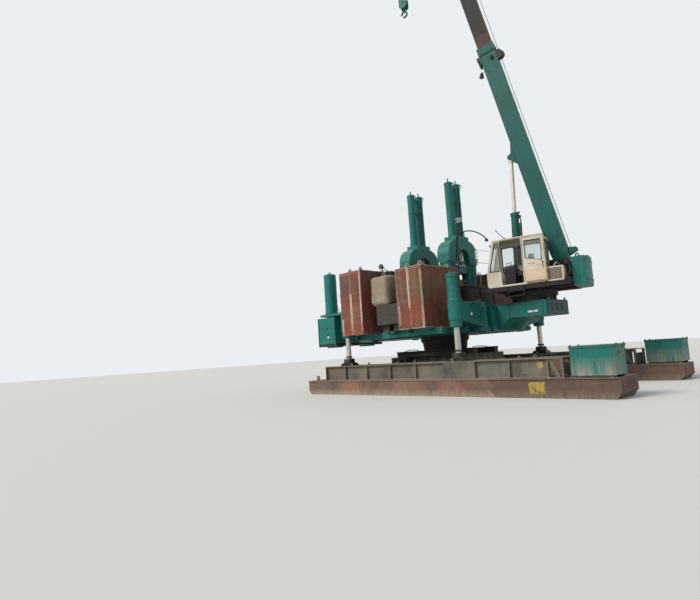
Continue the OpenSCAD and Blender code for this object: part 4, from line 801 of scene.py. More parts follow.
work.spin((2.893, -2.35, 2.73), (1, 0, 0),
    [(0, -0.002), (0.055, -0.002), (0.058, 0.006), (0.05, 0.016), (0, 0.022)], 28)
coat = Coat("reflector_white", 0.25)
disc = coat.lay(coat.speckle(60.0), (0.6, 0.62, 0.6), (0.82, 0.84, 0.82))
reflector_white = coat.done(disc, coat.speckle(180.0), 0.001)
work.piece("arm_reflector", "machine", reflector_white, "cream_paint")

# Hinge pins: as thick as a dinner plate, with a bolted retaining cap and a
# lifting eye on every head, black with old grease.
head = 3.195
work = Bench()
for side in (-1, 1):
    for x in leg_spots:
        work.bolt_ring((x, side * hinge_line, head), up, 0.12, 8, 0.014, 0.018)
        work.eye((x, side * hinge_line, head), (1, 0, 0), size=0.055)
        work.spin((x, side * hinge_line, head), up, [(0.075, 0), (0.075, 0.006), (0.06, 0.008), (0, 0.008)])
        work.bar((x + 0.09, side * hinge_line, head), (x + 0.09, side * hinge_line, head + 0.03), 0.01, 8)
work.piece("hinge_pin_caps", "machine", dark_skin, "dark_steel")

# Main body: a deep welded box with recessed side panels and a rim round its
# top, which carries valve blocks, pipe runs, covers and a low handrail.
body_half = 1.15
body_top = 3.05
press_end = -4.1
work = Bench()
for side in (-1, 1):
    y = side * body_half
    for x0 in (-3.68, -1.75, 1.15):
        work.frame((x0, side * 1.121, 2.17), (x0 + 1.2, side * 1.121, 2.98))
        for z in (2.42, 2.72):
            work.block((x0 + 0.02, side * 1.12 - 0.012, z), (x0 + 1.18, side * 1.12 + 0.012, z + 0.05))
    work.weld((-3.8, y, 2.12), (2.98, y, 2.12), 0.008)
    work.weld((-4.09, y + side * 0.001, 3.008), (2.98, y + side * 0.001, 3.008), 0.006)
    for x in (-2.3, -0.3, 0.7, 2.42):
        work.pad((x, y), (0.09, 0.01), 2.55, 2.83, 0.003)
        work.bolts([(x + s, y + side * 0.01, z) for s in (-0.07, 0.07) for z in (2.57, 2.81)],
            (0, side, 0), 0.009, 0.008)
    for x in (-2.7, 2.7):
        for s in (-1, 1):
            work.weld((x + s * 0.226, side * 1.18, 2.281), (x + s * 0.226, side * 1.38, 2.281), 0.008)
for y in (-0.75, 0.0, 0.75):
    work.block((press_end - 0.008, y - 0.27, 2.36), (press_end + 0.012, y + 0.27, 2.84))
    work.bolts([(press_end - 0.008, y + s, z) for s in (-0.24, 0, 0.24) for z in (2.385, 2.815)],
        (-1, 0, 0), 0.01, 0.009)
for x, y, w, d in ((-3.3, 0.0, 0.42, 0.34), (-2.2, 0.72, 0.3, 0.24), (-2.2, -0.72, 0.3, 0.24),
        (2.62, 0.0, 0.24, 0.4)):
    work.pad((x, y), (w, d), body_top - 0.002, body_top + 0.014)
    work.bolts([(x + s * (w - 0.04), y + t * (d - 0.04), body_top + 0.014) for s in (-1, 0, 1)
        for t in (-1, 1)], up, 0.011, 0.01)
    work.handle(x, y, body_top + 0.01, body_top + 0.045, 0.008)
for x in (-3.9, -1.9, 1.9, 2.85):
    for side in (-1, 1):
        work.eye((x, side * 1.02, body_top), (1, 0, 0), size=0.055)
for side in (-1, 1):
    work.weld((-0.63, side * 0.752, body_top + 0.001), (0.63, side * 0.752, body_top + 0.001), 0.008)
    work.weld((side * 0.632, -0.75, body_top + 0.001), (side * 0.632, 0.75, body_top + 0.001), 0.008)
work.piece("body_fittings", "machine", machine_teal, "teal_paint")
work = Bench()
for y in (-0.66, 0.36):
    work.block((2.245, y - 0.2, body_top), (2.375, y + 0.2, body_top + 0.1), 0.008)
    work.bolts([(2.31, y + t, body_top + 0.1) for t in (-0.16, -0.055, 0.055, 0.16)], up, 0.014, 0.016)
    for t in (-0.15, -0.05, 0.05, 0.15):
        work.bar((2.37, y + t, body_top + 0.05), (2.44, y + t, body_top + 0.05), 0.022)
        work.tube([(2.43, y + t, body_top + 0.05), (2.5, y + t, body_top + 0.045),
            (2.545, y + t, body_top + 0.028), (2.6, y + t, body_top + 0.016),
            (2.95, y + t, body_top + 0.016), (3.05, y + t, body_top + 0.016),
            (3.3, y + t, body_top + 0.016)], 0.011)
for side in (-1, 1):
    for i in range(5):
        y = side * (1.035 - 0.036 * i)
        ends = (-3.1, 2.1) if i % 2 else (-2.7, 2.3)
        work.tube([(ends[0], y, body_top + 0.014), (-1.6, y, body_top + 0.014)], 0.011)
        work.tube([(1.55, y, body_top + 0.014), (ends[1], y, body_top + 0.014)], 0.011)
    for x in (-2.9, -1.9, 1.7, 2.1):
        work.pad((x, side * 0.965), (0.02, 0.1), body_top + 0.002, body_top + 0.032)
work.block((-3.95, -0.3, body_top), (-3.75, 0.3, body_top + 0.16), 0.01)
for t in (-0.22, -0.11, 0.0, 0.11, 0.22):
    work.bar((-3.85, t, body_top + 0.155), (-3.85, t, body_top + 0.2), 0.02)
    work.tube([(-3.95, t, body_top + 0.07), (-4.01, t, body_top + 0.068), (-4.04, t, body_top + 0.04),
        (-4.045, t, body_top)], 0.012)
work.piece("body_pipework", "machine", dark_skin, "dark_steel")

# Handrail: bent tube on flat feet, along the press end of the body, where the
# crew step between the ballast and the pressing frames.
work = Bench()
for side in (-1, 1):
    y = side * 1.13
    for x in (-4.0, -3.35, -2.62):
        work.bar((x, y, body_top), (x, y, body_top + 0.9), 0.017)
        work.pad((x, y), (0.045, 0.035), body_top - 0.002, body_top + 0.01, 0.002)
        work.bolts([(x + s * 0.032, y, body_top + 0.01) for s in (-1, 1)], up, 0.008, 0.008)
    for z in (body_top + 0.47, body_top + 0.9):
        work.tube([(-4.0, y, z), (-3.3, y, z), (-2.6, y, z)], 0.017 if z > 3.6 else 0.012, 10)
work.piece("body_handrail", "machine", machine_teal, "teal_paint")

# Tail beam: a deep box beam that carries the crane, its underside rising in
# a haunch, spliced to the body with a bolted flange. Two pale blank plates
# are fixed to the near side.
tail_half = 0.8
tail_web, soffit, seam_top = 0.776, 2.556, 3.022
work = Bench()
for side in (-1, 1):
    y = side * tail_half
    for z in (2.24, 2.4, 2.6, 2.76, 2.92):
        work.bolts([(3.022, side * (tail_half - 0.05), z)], (1, 0, 0), 0.016, 0.018)
    for i in range(6):
        work.bolts([(3.013, side * (tail_half - 0.035), 2.22 + i * 0.14)], (1, 0, 0), 0.014, 0.016)
    work.weld((3.03, side * tail_web, 2.16), (3.455, side * tail_web, 2.552))
    work.weld((3.47, side * tail_web, soffit), (4.93, side * tail_web, soffit))
    work.weld((3.03, side * tail_web, seam_top), (4.93, side * tail_web, seam_top))
    for x in (3.28, 4.72):
        work.weld((x, side * tail_web, 2.57), (x, side * tail_web, 3.01))
    for s, z in ((3.75, 2.79), (4.3, 2.79)):
        work.spin((s, side * 0.774, z), (0, side, 0),
            [(0.1, -0.002), (0.1, 0.012), (0.085, 0.014), (0.078, 0.006), (0, 0.006)], 28)
work.frame((4.96, -0.78, 2.55), (4.96, 0.78, 3.02))
for y in (-0.62, 0.62):
    work.eye((4.93, y, 3.05), (0, 1, 0), size=0.05)
for y in (-0.4, 0.0, 0.4):
    work.block((4.955, y - 0.13, 2.64), (4.972, y + 0.13, 2.92))
    work.bolts([(4.972, y + s * 0.105, z) for s in (-1, 1) for z in (2.665, 2.895)],
        (1, 0, 0), 0.009, 0.008)
work.piece("tail_fittings", "machine", machine_teal, "teal_paint")
work = Bench()
for low, high in (((4.2, 2.645), (4.4, 2.715)), ((4.435, 2.645), (4.57, 2.715))):
    work.block((low[0], -0.812, low[1]), (high[0], -0.77, high[1]), 0.002)
    work.bolts([(x, -0.812, z) for x in (low[0] + 0.012, high[0] - 0.012)
        for z in (low[1] + 0.01, high[1] - 0.01)], (0, -1, 0), 0.004, 0.003)
coat = Coat("blank_plate", 0.35)
plate_skin = coat.done(coat.lay(coat.between(coat.speckle(30.0), 0.35, 0.7), (0.7, 0.74, 0.7),
    (0.5, 0.56, 0.52)), coat.speckle(70.0), 0.0006)
work.piece("tail_plates", "machine", plate_skin, "cream_paint")

# Ballast racks: beams on tapered brackets, welded under the slabs, with end
# stops bolted on and drain holes cut along their webs.
work = Bench()
for side in (-1, 1):
    for x in (-2.1, -1.35, 0.1, 0.78, 1.7):
        tip = 3.56 if x > -0.5 else 2.75
        for s in (-1, 1):
            work.weld((x + s * 0.081, side * 1.18, 2.345), (x + s * 0.081, side * (tip - 0.05), 2.345))
            work.weld((x + s * 0.081, side * 1.152, 2.14), (x + s * 0.081, side * 1.152, 2.34))
    for x, ys in ((-2.38, (1.49, 2.76)), (2.22, (1.49, 3.18))):
        s = -1 if x < 0 else 1
        for y in ys:
            work.pad((x, side * y), (0.012, 0.08), 2.14, 2.33)
            work.bolts([(x + s * 0.012, side * y + t, z) for t in (-0.055, 0.055) for z in (2.17, 2.3)],
                (s, 0, 0), 0.01, 0.01)
    for x in (0.62, 1.3):
        work.weld((x, side * 3.222, 2.13), (x, side * 3.222, 2.34), 0.006)
work.piece("rack_welds", "machine", machine_teal, "teal_paint")

# Ballast slabs: thick mill plates stood on edge, red-brown with rust, their
# burnt edges rubbed pale, with long rain streaks and shackles on the eyes.
def slab_skin(name, colour, dark, shift):
    """Thick rusty plate with pale burnt edges and rain bands."""
    coat, skin, height, gloss = steel_skin(name, colour, dark, (0.34, 0.205, 0.145), streak=0.85,
        scrape=0.7, dusty=0.35, shift=shift, fine=7.0,
        patches=(((0.27, 0.155, 0.105), 77.0 + shift, 0.7), ((0.1, 0.058, 0.048), 84.0 + shift, 0.7),
        ((0.25, 0.055, 0.034), 91.0 + shift, 0.6), ((0.155, 0.125, 0.06), 98.0 + shift, 0.45)))
    rain = coat.speckle(1.0, stretch=(6.0, 6.0, 0.3), detail=6.0, shift=shift + 50.0)
    skin = coat.lay(coat.between(rain, 0.56, 0.7, 0.5), skin, (0.33, 0.215, 0.155))
    pale = coat.work("MULTIPLY", coat.edges(0.07),
        coat.between(coat.speckle(5.0, stretch=(1, 1, 0.5)), 0.36, 0.52, 0.95))
    skin = coat.lay(pale, skin, (0.6, 0.49, 0.4))
    for x, z0, z1, wide in ((-2.655, 2.35, 4.0, 0.05), (-2.115, 2.5, 4.9, 0.022), (0.345, 3.1, 4.62, 0.045),
            (0.9, 2.3, 4.4, 0.022), (-3.17, 2.3, 3.0, 0.03), (-0.15, 2.5, 3.2, 0.03)):
        band = coat.patch((x - wide, -3.75, z0), (x + wide, 3.75, z1), 0.014)
        skin = coat.lay(coat.work("MULTIPLY", band, coat.between(rain, 0.3, 0.55, 0.85)), skin,
            (0.62, 0.52, 0.43))
    ember = coat.work("MULTIPLY", coat.height(2.3, 3.6),
        coat.between(coat.speckle(1.1, shift=shift + 7.0), 0.48, 0.62, 0.75))
    skin = coat.lay(ember, skin, (0.235, 0.062, 0.03))
    return coat.done(skin, height, 0.005, gloss)


dress(slab_skin("slab_rust", (0.17, 0.072, 0.046), (0.075, 0.04, 0.034), 21.0), "ballast_slabs")
work = Bench()
tops = ((-2.42, 4.9), (-1.81, 4.9), (0.6, 4.6), (1.21, 4.6))
for side in (-1, 1):
    for x, top in tops:
        middle = x + 0.295
        for y in (1.65, 3.25):
            work.tube([(middle - 0.075, side * y, top + 0.055),
                (middle - 0.07, side * y + 0.01, top + 0.13), (middle, side * y + 0.015, top + 0.19),
                (middle + 0.07, side * y + 0.01, top + 0.13), (middle + 0.075, side * y, top + 0.055)],
                0.015, 10)
            work.bar((middle - 0.11, side * y, top + 0.058), (middle + 0.11, side * y, top + 0.058), 0.018)
            for s in (-1, 1):
                work.nut((middle + s * 0.085, side * y, top + 0.058), (s, 0, 0), 0.032, 0.022, 8)
        for z in (2.352, top - 0.1):
            work.weld((x + 0.03, side * 3.6, z), (x + 0.56, side * 3.6, z))
shackle_rust = slab_skin("shackle_rust", (0.16, 0.085, 0.06), (0.08, 0.05, 0.04), 33.0)
work.piece("slab_shackles", "machine", shackle_rust, "rusty_steel")

# Spacer stacks: flame-cut plates laid on two bearers and welded into one
# bundle, each edge a little out of line with the next, dull grey-green.
stack_skin = plain_steel("stack_plate", (0.056, 0.056, 0.044), (0.026, 0.026, 0.022), (0.12, 0.1, 0.078),
    0.004, streak=0.5, scrape=0.7, shift=61.0,
    patches=(((0.075, 0.052, 0.04), 12.0, 0.6), ((0.046, 0.053, 0.047), 19.0, 0.6)))
dress(stack_skin, "spacer_stacks")
work = Bench()
for side in (-1, 1):
    for layer in range(12):
        z = 2.614 + layer * 0.0612
        out = 0.006 + chance.uniform(0, 0.022)
        for face, low, high in (
                (0, (-0.495, 3.538, z), (0.555, 3.54 + out, z + 0.052)),
                (1, (-0.5 - out, 1.625, z), (-0.497, 3.535, z + 0.052)),
                (2, (0.557, 1.625, z), (0.56 + out, 3.535, z + 0.052))):
            low, high = list(low), list(high)
            low[1], high[1] = sorted((side * low[1], side * high[1]))
            work.block(low, high, 0.006)
    for x in (-0.3, 0.36):
        work.weld((x, side * 3.556, 2.62), (x, side * 3.556, 3.33), 0.009)
    for x in (-0.23, 0.29):
        for y in (2.0, 3.1):
            work.weld((x - 0.14, side * y, 2.352), (x + 0.14, side * y, 2.352))
work.piece("stack_edges", "machine", stack_skin, "girder_steel")

# Concrete blocks: cast lumps with rounded, broken edges, sandy and stained,
# with air holes in their faces and two rebar loops to lift them by.
coat, skin, height, gloss = steel_skin("cast_concrete", (0.34, 0.275, 0.205), (0.17, 0.135, 0.105),
    (0.47, 0.4, 0.31), streak=0.45, rough=0.88, metal=0.0, shift=31.0, fine=15.0,
    patches=(((0.56, 0.44, 0.27), 5.0, 0.6), ((0.33, 0.3, 0.25), 15.0, 0.6)))
stain = coat.work("MULTIPLY", coat.patch((-1.42, -3.8, 3.55), (-0.84, 3.8, 4.38), 0.1),
    coat.between(coat.speckle(2.6), 0.42, 0.64, 0.6))
skin = coat.lay(stain, skin, (0.44, 0.345, 0.185))
# The air holes are bump only; their dark colour is painted shade in the pits.
hole = coat.between(coat.speckle(34.0, detail=2.0), 0.67, 0.72)
cast_skin = coat.done(coat.lay(coat.work("MULTIPLY", hole, 0.7), skin, (0.14, 0.12, 0.09)),
    coat.work("SUBTRACT", height, hole), 0.012, gloss)
lump_size, lump_corner, lump_foot = Vector((0.9, 1.21, 1.155)), 0.3, 3.3505
shrink, wave, chip_in, grit = 0.018, 0.018, 0.02, 0.01
for side, name in ((-1, "near"), (1, "far")):
    lump = bmesh.new()
    bmesh.ops.create_cube(lump, size=1.0)
    bmesh.ops.subdivide_edges(lump, edges=lump.edges[:], cuts=30, use_grid_fill=True)
    middle = Vector((-0.295, side * 3.0, 3.922))
    shift = Vector((9.1 * side, 4.0, 2.0))
    for v in lump.verts:
        p = Vector(v.co) * 2
        inner = Vector([max(-1 + lump_corner, min(1 - lump_corner, c)) for c in p])
        if (p - inner).length > 1e-6:
            p = inner + (p - inner).normalized() * lump_corner
        p = Vector((p[i] * lump_size[i] / 2 for i in range(3)))
        rough_edge = chip_in * noise.noise(p * 3.0 + shift) + grit * noise.noise(p * 9.0 + shift)
        sag = wave * noise.noise(p * 1.3 + shift)
        p *= 1 - shrink + (rough_edge + sag)
        v.co = pile_axis @ (middle + p)
        v.co.z = max(v.co.z, lump_foot)
    for face in lump.faces:
        face.smooth = True
    mesh = bpy.data.meshes.new(f"concrete_{name}")
    lump.to_mesh(mesh)
    lump.free()
    mesh.materials.append(cast_skin)
    made = stand(f"concrete_{name}", mesh)
    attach(made, "machine")
    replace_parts(made, "concrete_blocks")
work = Bench()
for side in (-1, 1):
    for y in (2.62, 3.36):
        work.tube([(-0.1, side * y, 4.44), (-0.12, side * y, 4.55), (-0.18, side * y, 4.6),
            (-0.24, side * y, 4.55), (-0.26, side * y, 4.44)], 0.009, 8)
work.piece("concrete_loops", "machine", shackle_rust, "rusty_steel")

# Work lamp: a spun reflector on a tripod with hinged feet, aimed at the
# pile, beside its switch box of folded sheet with a gland for the cable.
dress(dark_skin, "work_lamps")
lamp_spot = pile_axis @ Matrix.Translation((-0.47, -3.08, 4.5))
work = Bench(lamp_spot)
for a in (90, 210, 330):
    a = math.radians(a)
    work.spin((0.11 * math.cos(a), 0.11 * math.sin(a), 0.016), up,
        [(0.016, 0), (0.016, 0.012), (0, 0.014)], 8)
work.band((0, 0, 0.255), up, 0.019, 0.03, 0.03, 16)
work.bar((0.028, 0, 0.27), (0.055, 0, 0.27), 0.006, 8)
lamp_tilt = math.radians(65)
aim = Vector((0, -math.sin(lamp_tilt), math.cos(lamp_tilt)))
head = Vector((0, 0, 0.385))
work.spin(head + aim * 0.093, aim,
    [(0.086, 0), (0.101, 0.002), (0.104, 0.012), (0.098, 0.018), (0.088, 0.012)], 36)
for s in (-1, 1):
    work.bar((s * 0.072, 0, 0.372), (s * 0.116, 0, 0.372), 0.01, 10)
    work.plate([(s * 0.11, -0.012, 0.25), (s * 0.11, 0.012, 0.25), (s * 0.11, 0.012, 0.39),
        (s * 0.11, -0.012, 0.39)], (s * 0.005, 0, 0))
work.pad((0, 0), (0.115, 0.012), 0.238, 0.252, 0.002)
work.block((-0.165, 0.185, 0.195), (0.265, 0.425, 0.224))
for x in (-0.1, 0.2):
    work.block((x - 0.02, 0.182, 0.1), (x + 0.02, 0.192, 0.17), 0.002)
work.cap((0.05, 0.188, 0.12), (0, -1, 0), 0.018, 0.02, 0.012, 0.024, foot=0)
work.spin((0.068, 0.188, 0.06), (0, -1, 0), [(0, 0), (0.016, 0), (0.016, 0.012), (0, 0.014)], 6)
work.piece("lamp_fittings", "machine", dark_skin, "dark_steel")
work = Bench(lamp_spot)
work.spin(head + aim * 0.096, aim, [(0, 0.006), (0.045, 0.005), (0.088, 0.0)], 36)
lens_glass = bpy.data.materials.new("lamp_lens")
lens_glass.use_nodes = True
shader = lens_glass.node_tree.nodes["Principled BSDF"]
shader.inputs["Base Color"].default_value = (0.045, 0.05, 0.052, 1)
shader.inputs["Roughness"].default_value = 0.12
work.piece("lamp_lens", "machine", lens_glass, "cab_glass")

# Pressing frames: two thick round columns under a bell-shaped crosshead of
# burnt plate, bolted down through base flanges, with rod glands on top,
# steel pipes up their sides and a bent hose arm on the crane side.
frame_spots, column_lines, rod_lines = (-1.0, 1.0), (-0.735, 0.735), (-0.27, 0.27)
head_half, head_seam = 0.281, 5.054
work = Bench()
pipes = Bench()
for x in frame_spots:
    for y in column_lines:
        work.bolt_ring((x, y, 3.091), up, 0.331, 16, 0.011, 0.02, start=0.2)
        work.bolt_ring((x, y, 5.051), up, 0.326, 14, 0.011, 0.014)
        for z in (3.55, 4.3):
            work.band((x, y, z), up, 0.308, 0.317, 0.016, 44, edge=0.004)
        for s in (-1, 1):
            work.spin((x + s * head_half, y, 5.16), (s, 0, 0),
                [(0.075, -0.002), (0.075, 0.01), (0.058, 0.012), (0.052, 0.004), (0, 0.004)], 24)
    for s in (-1, 1):
        face = x + s * head_half
        work.weld((face, -1.04, head_seam), (face, -0.43, head_seam), 0.008)
        work.weld((face, 0.43, head_seam), (face, 1.04, head_seam), 0.008)
        work.tube([(face, 0.425 * math.cos(a), 5.15 + 0.425 * math.sin(a))
            for a in (math.pi * i / 14 for i in range(15))], 0.009, 6, 2)
        work.spin((face, 0, 5.93), (s, 0, 0), [(0.07, -0.002), (0.07, 0.012), (0.055, 0.014), (0, 0.014)],
            24)
        work.bolts([(face, t * 0.56, 5.6) for t in (-1, 1)], (s, 0, 0), 0.016, 0.014)
    for y in rod_lines:
        work.bolt_ring((x, y, 6.191), up, 0.1715, 10, 0.006, 0.01)
        work.spin((x, y, 5.052), down, [(0.106, -0.06), (0.15, -0.06), (0.15, 0.012), (0.106, 0.012)], 28)
    for y in (-0.92, 0.92):
        work.plate([(x - 0.05, y, 5.55), (x + 0.05, y, 5.55), (x + 0.03, y, 5.66), (x - 0.03, y, 5.66)],
            (0, 0.012, 0))
work.piece("frame_fittings", "machine", machine_teal, "teal_paint")
for x, s in ((1.0, 1), (-1.0, -1)):
    for y in (-0.5, -0.56):
        pipes.tube([(x + s * 0.2, y - 0.1, 3.06), (x + s * 0.315, y, 3.1), (x + s * 0.325, y, 3.4),
            (x + s * 0.325, y, 4.8), (x + s * 0.385, y, 4.93), (x + s * 0.385, y, 5.07),
            (x + s * 0.31, y, 5.18), (x + s * 0.3, y + 0.08, 5.5), (x + s * 0.3, y + 0.16, 5.9),
            (x + s * 0.28, y + 0.22, 6.13)], 0.012)
    for z in (3.5, 4.1, 4.7):
        pipes.block((x + s * 0.29 - 0.03, -0.6, z), (x + s * 0.29 + 0.05, -0.46, z + 0.04))
    for y in rod_lines:
        pipes.tube([(x + s * 0.17, y, 6.32), (x + s * 0.215, y, 6.3), (x + s * 0.225, y, 6.2),
            (x + s * 0.215, y, 6.12)], 0.014)
pipes.tube([(1.17, 0.06, 6.12), (1.3, 0.05, 6.27), (1.5, 0.03, 6.3), (1.8, 0.0, 6.22), (2.1, -0.04, 6.06),
    (2.34, -0.06, 5.86), (2.42, -0.06, 5.74)], 0.026, 10, 8)
pipes.bar((1.2, 0.06, 6.12), (1.2, 0.06, 6.22), 0.03)
pipes.block((2.37, -0.11, 5.66), (2.47, -0.01, 5.77), 0.012)
pipes.tube([(1.29, -0.5, 5.42), (1.42, -0.52, 5.5), (1.5, -0.5, 5.44), (1.52, -0.48, 5.28),
    (1.46, -0.46, 5.16), (1.36, -0.45, 5.1), (1.29, -0.5, 5.12)], 0.013, 8, 6)
pipes.piece("frame_pipes", "machine", dark_skin, "dark_steel")

# Pressing cylinders: twin barrels stood on each crosshead, with bolted caps,
# tie bands and port blocks at the top and steel pipes between the pair.
work = Bench()
pipes = Bench()
for x in frame_spots:
    s = 1 if x > 0 else -1
    for y in rod_lines:
        work.bolt_ring((x, y, 8.411), up, 0.125, 8, 0.013, 0.02)
        for z in (6.72, 7.55, 8.2):
            work.band((x, y, z), up, 0.164, 0.172, 0.04, edge=0.003)
        work.spin((x, y, 8.575), up,
            [(0.012, 0), (0.034, 0.004), (0.034, 0.018), (0.012, 0.022), (0.012, 0.05), (0, 0.052)], 16)
        work.spin((x + 0.213, y, 8.35), (1, 0, 0),
            [(0, -0.02), (0.03, -0.02), (0.03, 0.016), (0, 0.016)], 6)
        pipes.tube([(x + 0.225, y, 8.35), (x + 0.262, y, 8.335), (x + 0.268, y, 8.27),
            (x + 0.2, y * 0.82, 8.1), (x + 0.185, y * 0.72, 7.9), (x + 0.185, y * 0.72, 6.6),
            (x + 0.19, y * 0.72, 6.35), (x + 0.21, y * 0.72, 6.13)], 0.013)
        for z in (6.74, 7.57):
            pipes.block((x + 0.145, y * 0.72 - 0.025, z), (x + 0.205, y * 0.72 + 0.025, z + 0.03))
    for z in (7.57, 8.22):
        work.pad((x, 0), (0.06, 0.12), z - 0.01, z + 0.03, 0.006)
work.piece("press_cylinder_bands", "machine", machine_teal, "teal_paint")
pipes.piece("press_cylinder_pipes", "machine", dark_skin, "dark_steel")

# Clamp box: a thick welded box with side cylinders' covers, a bolted lid
# ring, wear strips and nuts that hold it on the pressing rods.
work = Bench()
for side in (-1, 1):
    y = side * 0.65
    for x in (-0.25, 0.25):
        for z in (4.08, 4.54):
            work.bolt_ring((x, side * 0.681, z), (0, side, 0), 0.083, 8, 0.011, 0.012)
            work.spin((x, side * 0.68, z), (0, side, 0),
                [(0.05, -0.002), (0.05, 0.01), (0.04, 0.014), (0, 0.014)], 24)
    work.weld((-0.54, y, 3.765), (0.54, y, 3.765))
    for x in (-0.5, 0, 0.5):
        work.pad((x, y), (0.03, 0.012), 3.8, 4.87)
    for x in (-0.55, 0.55):
        s = -1 if x < 0 else 1
        work.pad((x, side * 0.5), (0.01, 0.08), 3.82, 4.56)
        work.bolts([(x + s * 0.01, side * 0.5 + t, z) for t in (-0.05, 0.05) for z in (3.87, 4.19, 4.51)],
            (s, 0, 0), 0.01, 0.01)
work.bolt_ring((0, 0, 4.97), up, 0.445, 20, 0.014, 0.016)
for x in (-0.42, 0.42):
    for y in (-0.55, 0.55):
        work.eye((x, y, 4.91), (1, 0, 0), size=0.06)
work.piece("clamp_fittings", "clamp", machine_teal, "teal_paint")
work = Bench()
for x in frame_spots:
    for y in rod_lines:
        work.spin((x, y, 4.97), up, [(0.094, 0), (0.128, 0), (0.128, 0.04), (0.118, 0.048), (0.094, 0.048)],
            6)
        work.bolt_ring((x, y, 4.97), up, 0.116, 6, 0.007, 0.012, start=0.5)
        work.cap((x, y, 4.61), down, 0.085, 0.05, 0.07, 0.06, 6, foot=0)
work.piece("rod_nuts", "clamp", dark_skin, "dark_steel")

# Side press: a second pressing unit on a bracket off the body's end, for
# piles close to a wall. Its clamp is a wide box with a dark, oily foot and a
# round white reflector; two thick barrels stand over it.
# A brighter copy of the machine teal (lift 1.15) for the side press: painted light.
side_teal_painted_light = teal_skin("side_teal_painted_light", 1.15, wear=0.5, shift=17.0)
dress(side_teal_painted_light, "side_press_frame", "side_clamp")
side_axis = -5.665
barrel_lines, clamp_half, clamp_ends = (-1.2, 1.2), 1.6, (-6.26, -5.07)
foot_low, foot_high = 2.02, 2.155
work = Bench()
for y in barrel_lines:
    work.bolt_ring((side_axis, y, 3.641), up, 0.313, 16, 0.009, 0.014)
    work.spin((side_axis, y, 5.5), up, [(0.24, 0.036), (0.2, 0.044), (0.12, 0.05), (0, 0.05)], 28)
    work.bolt_ring((side_axis, y, 5.548), up, 0.17, 8, 0.014, 0.016)
    for z in (4.25, 4.95):
        work.band((side_axis, y, z), up, 0.298, 0.308, 0.034, 44, edge=0.004)
    work.eye((side_axis, y, 5.55), (0, 1, 0), size=0.06)
    for s in (-1, 1):
        work.weld((side_axis + s * 0.4, y - 0.2, 3.571), (side_axis + s * 0.4, y + 0.2, 3.571))
for side in (-1, 1):
    for x in (-4.62, -4.98):
        work.plate([(x, side * 0.83, 3.46), (x, side * 1.1, 3.46), (x, side * 0.83, 3.12)], (0.03, 0, 0))
    work.weld((-4.9, side * 0.832, 3.47), (-4.52, side * 0.832, 3.47))
    work.weld((-4.11, side * 0.832, 2.3), (-4.11, side * 0.832, 3.02))
for y in (-1.4, -0.7, 0.7, 1.4):
    work.bolts([(x, y, 3.57) for x in (-6.03, -4.66)], up, 0.014, 0.014)
work.piece("side_press_fittings", "machine", side_teal_painted_light, "teal_paint")
work = Bench()
for y in barrel_lines:
    inner = y - 0.33 if y > 0 else y + 0.33
    work.tube([(side_axis, inner, 5.38), (side_axis, inner * 0.93, 5.36), (side_axis, inner * 0.92, 5.2),
        (side_axis, inner * 0.92, 4.0), (side_axis + 0.05, inner * 0.8, 3.72),
        (side_axis + 0.3, inner * 0.5, 3.6), (-4.75, inner * 0.4, 3.592), (-4.62, inner * 0.4, 3.592)],
        0.013)
    work.bar((side_axis, y - math.copysign(0.29, y), 5.38),
        (side_axis, y - math.copysign(0.35, y), 5.38), 0.026)
work.block((-4.9, -0.34, 3.57), (-4.66, 0.34, 3.68), 0.008)
work.bolts([(-4.78, t, 3.68) for t in (-0.26, -0.09, 0.09, 0.26)], up, 0.014, 0.014)
work.piece("side_press_pipes", "machine", dark_skin, "dark_steel")
work = Bench()
for side in (-1, 1):
    y = side * clamp_half
    for x in (side_axis - 0.36, side_axis + 0.36):
        work.pad((x, y), (0.1, 0.012), 2.35, 3.1)
        work.frame((x - 0.1, y + side * 0.001, 2.35), (x + 0.1, y + side * 0.001, 3.1), 0.006)
    for z in (2.62, 2.92):
        work.spin((side_axis, y, z), (0, side, 0),
            [(0.095, -0.002), (0.095, 0.018), (0.08, 0.024), (0, 0.024)], 24)
        work.bolt_ring((side_axis, side * 1.622, z), (0, side, 0), 0.07, 6, 0.009, 0.01)
    work.eye((side_axis, side * 1.35, 3.4), (1, 0, 0), size=0.07)
for x, s in ((clamp_ends[0], -1), (clamp_ends[1], 1)):
    for y in (-1.25, -0.65, 0.65, 1.25):
        work.pad((x, y), (0.01, 0.22), 2.42, 3.05)
        work.bolts([(x + s * 0.01, y + t, z) for t in (-0.18, 0.18) for z in (2.46, 3.01)],
            (s, 0, 0), 0.011, 0.01)
    work.spin((x, 0, 2.74), (s, 0, 0),
        [(0.17, -0.002), (0.17, 0.02), (0.15, 0.026), (0.1, 0.026), (0.09, 0.012), (0, 0.012)], 32)
    work.bolt_ring((x + s * 0.024, 0, 2.74), (s, 0, 0), 0.125, 10, 0.011, 0.012)
work.spin((side_axis, 0, 3.4), up, [(0.24, 0), (0.3, 0.0), (0.3, 0.02), (0.24, 0.02), (0.24, 0)], 40)
work.bolt_ring((side_axis, 0, 3.42), up, 0.272, 14, 0.011, 0.012)
work.piece("side_clamp_fittings", "side_unit", side_teal_painted_light, "teal_paint")
work = Bench()
work.spin((-5.57, -1.601, 2.46), (0, -1, 0),
    [(0, -0.002), (0.06, -0.002), (0.062, 0.006), (0.052, 0.016), (0, 0.022)], 28)
work.piece("side_reflector", "side_unit", reflector_white, "cream_paint")
work = Bench()
for side in (-1, 1):
    work.pad((side_axis, side * clamp_half), (0.56, 0.01), foot_low, foot_high, 0.005)
    work.bolts([(side_axis + t, side * 1.61, 2.09) for t in (-0.5, -0.25, 0, 0.25, 0.5)],
        (0, side, 0), 0.012, 0.01)
for x in clamp_ends:
    work.pad((x, 0), (0.01, 1.55), foot_low, foot_high, 0.005)
work.piece("side_clamp_skirt", "side_unit", dark_skin, "dark_steel")

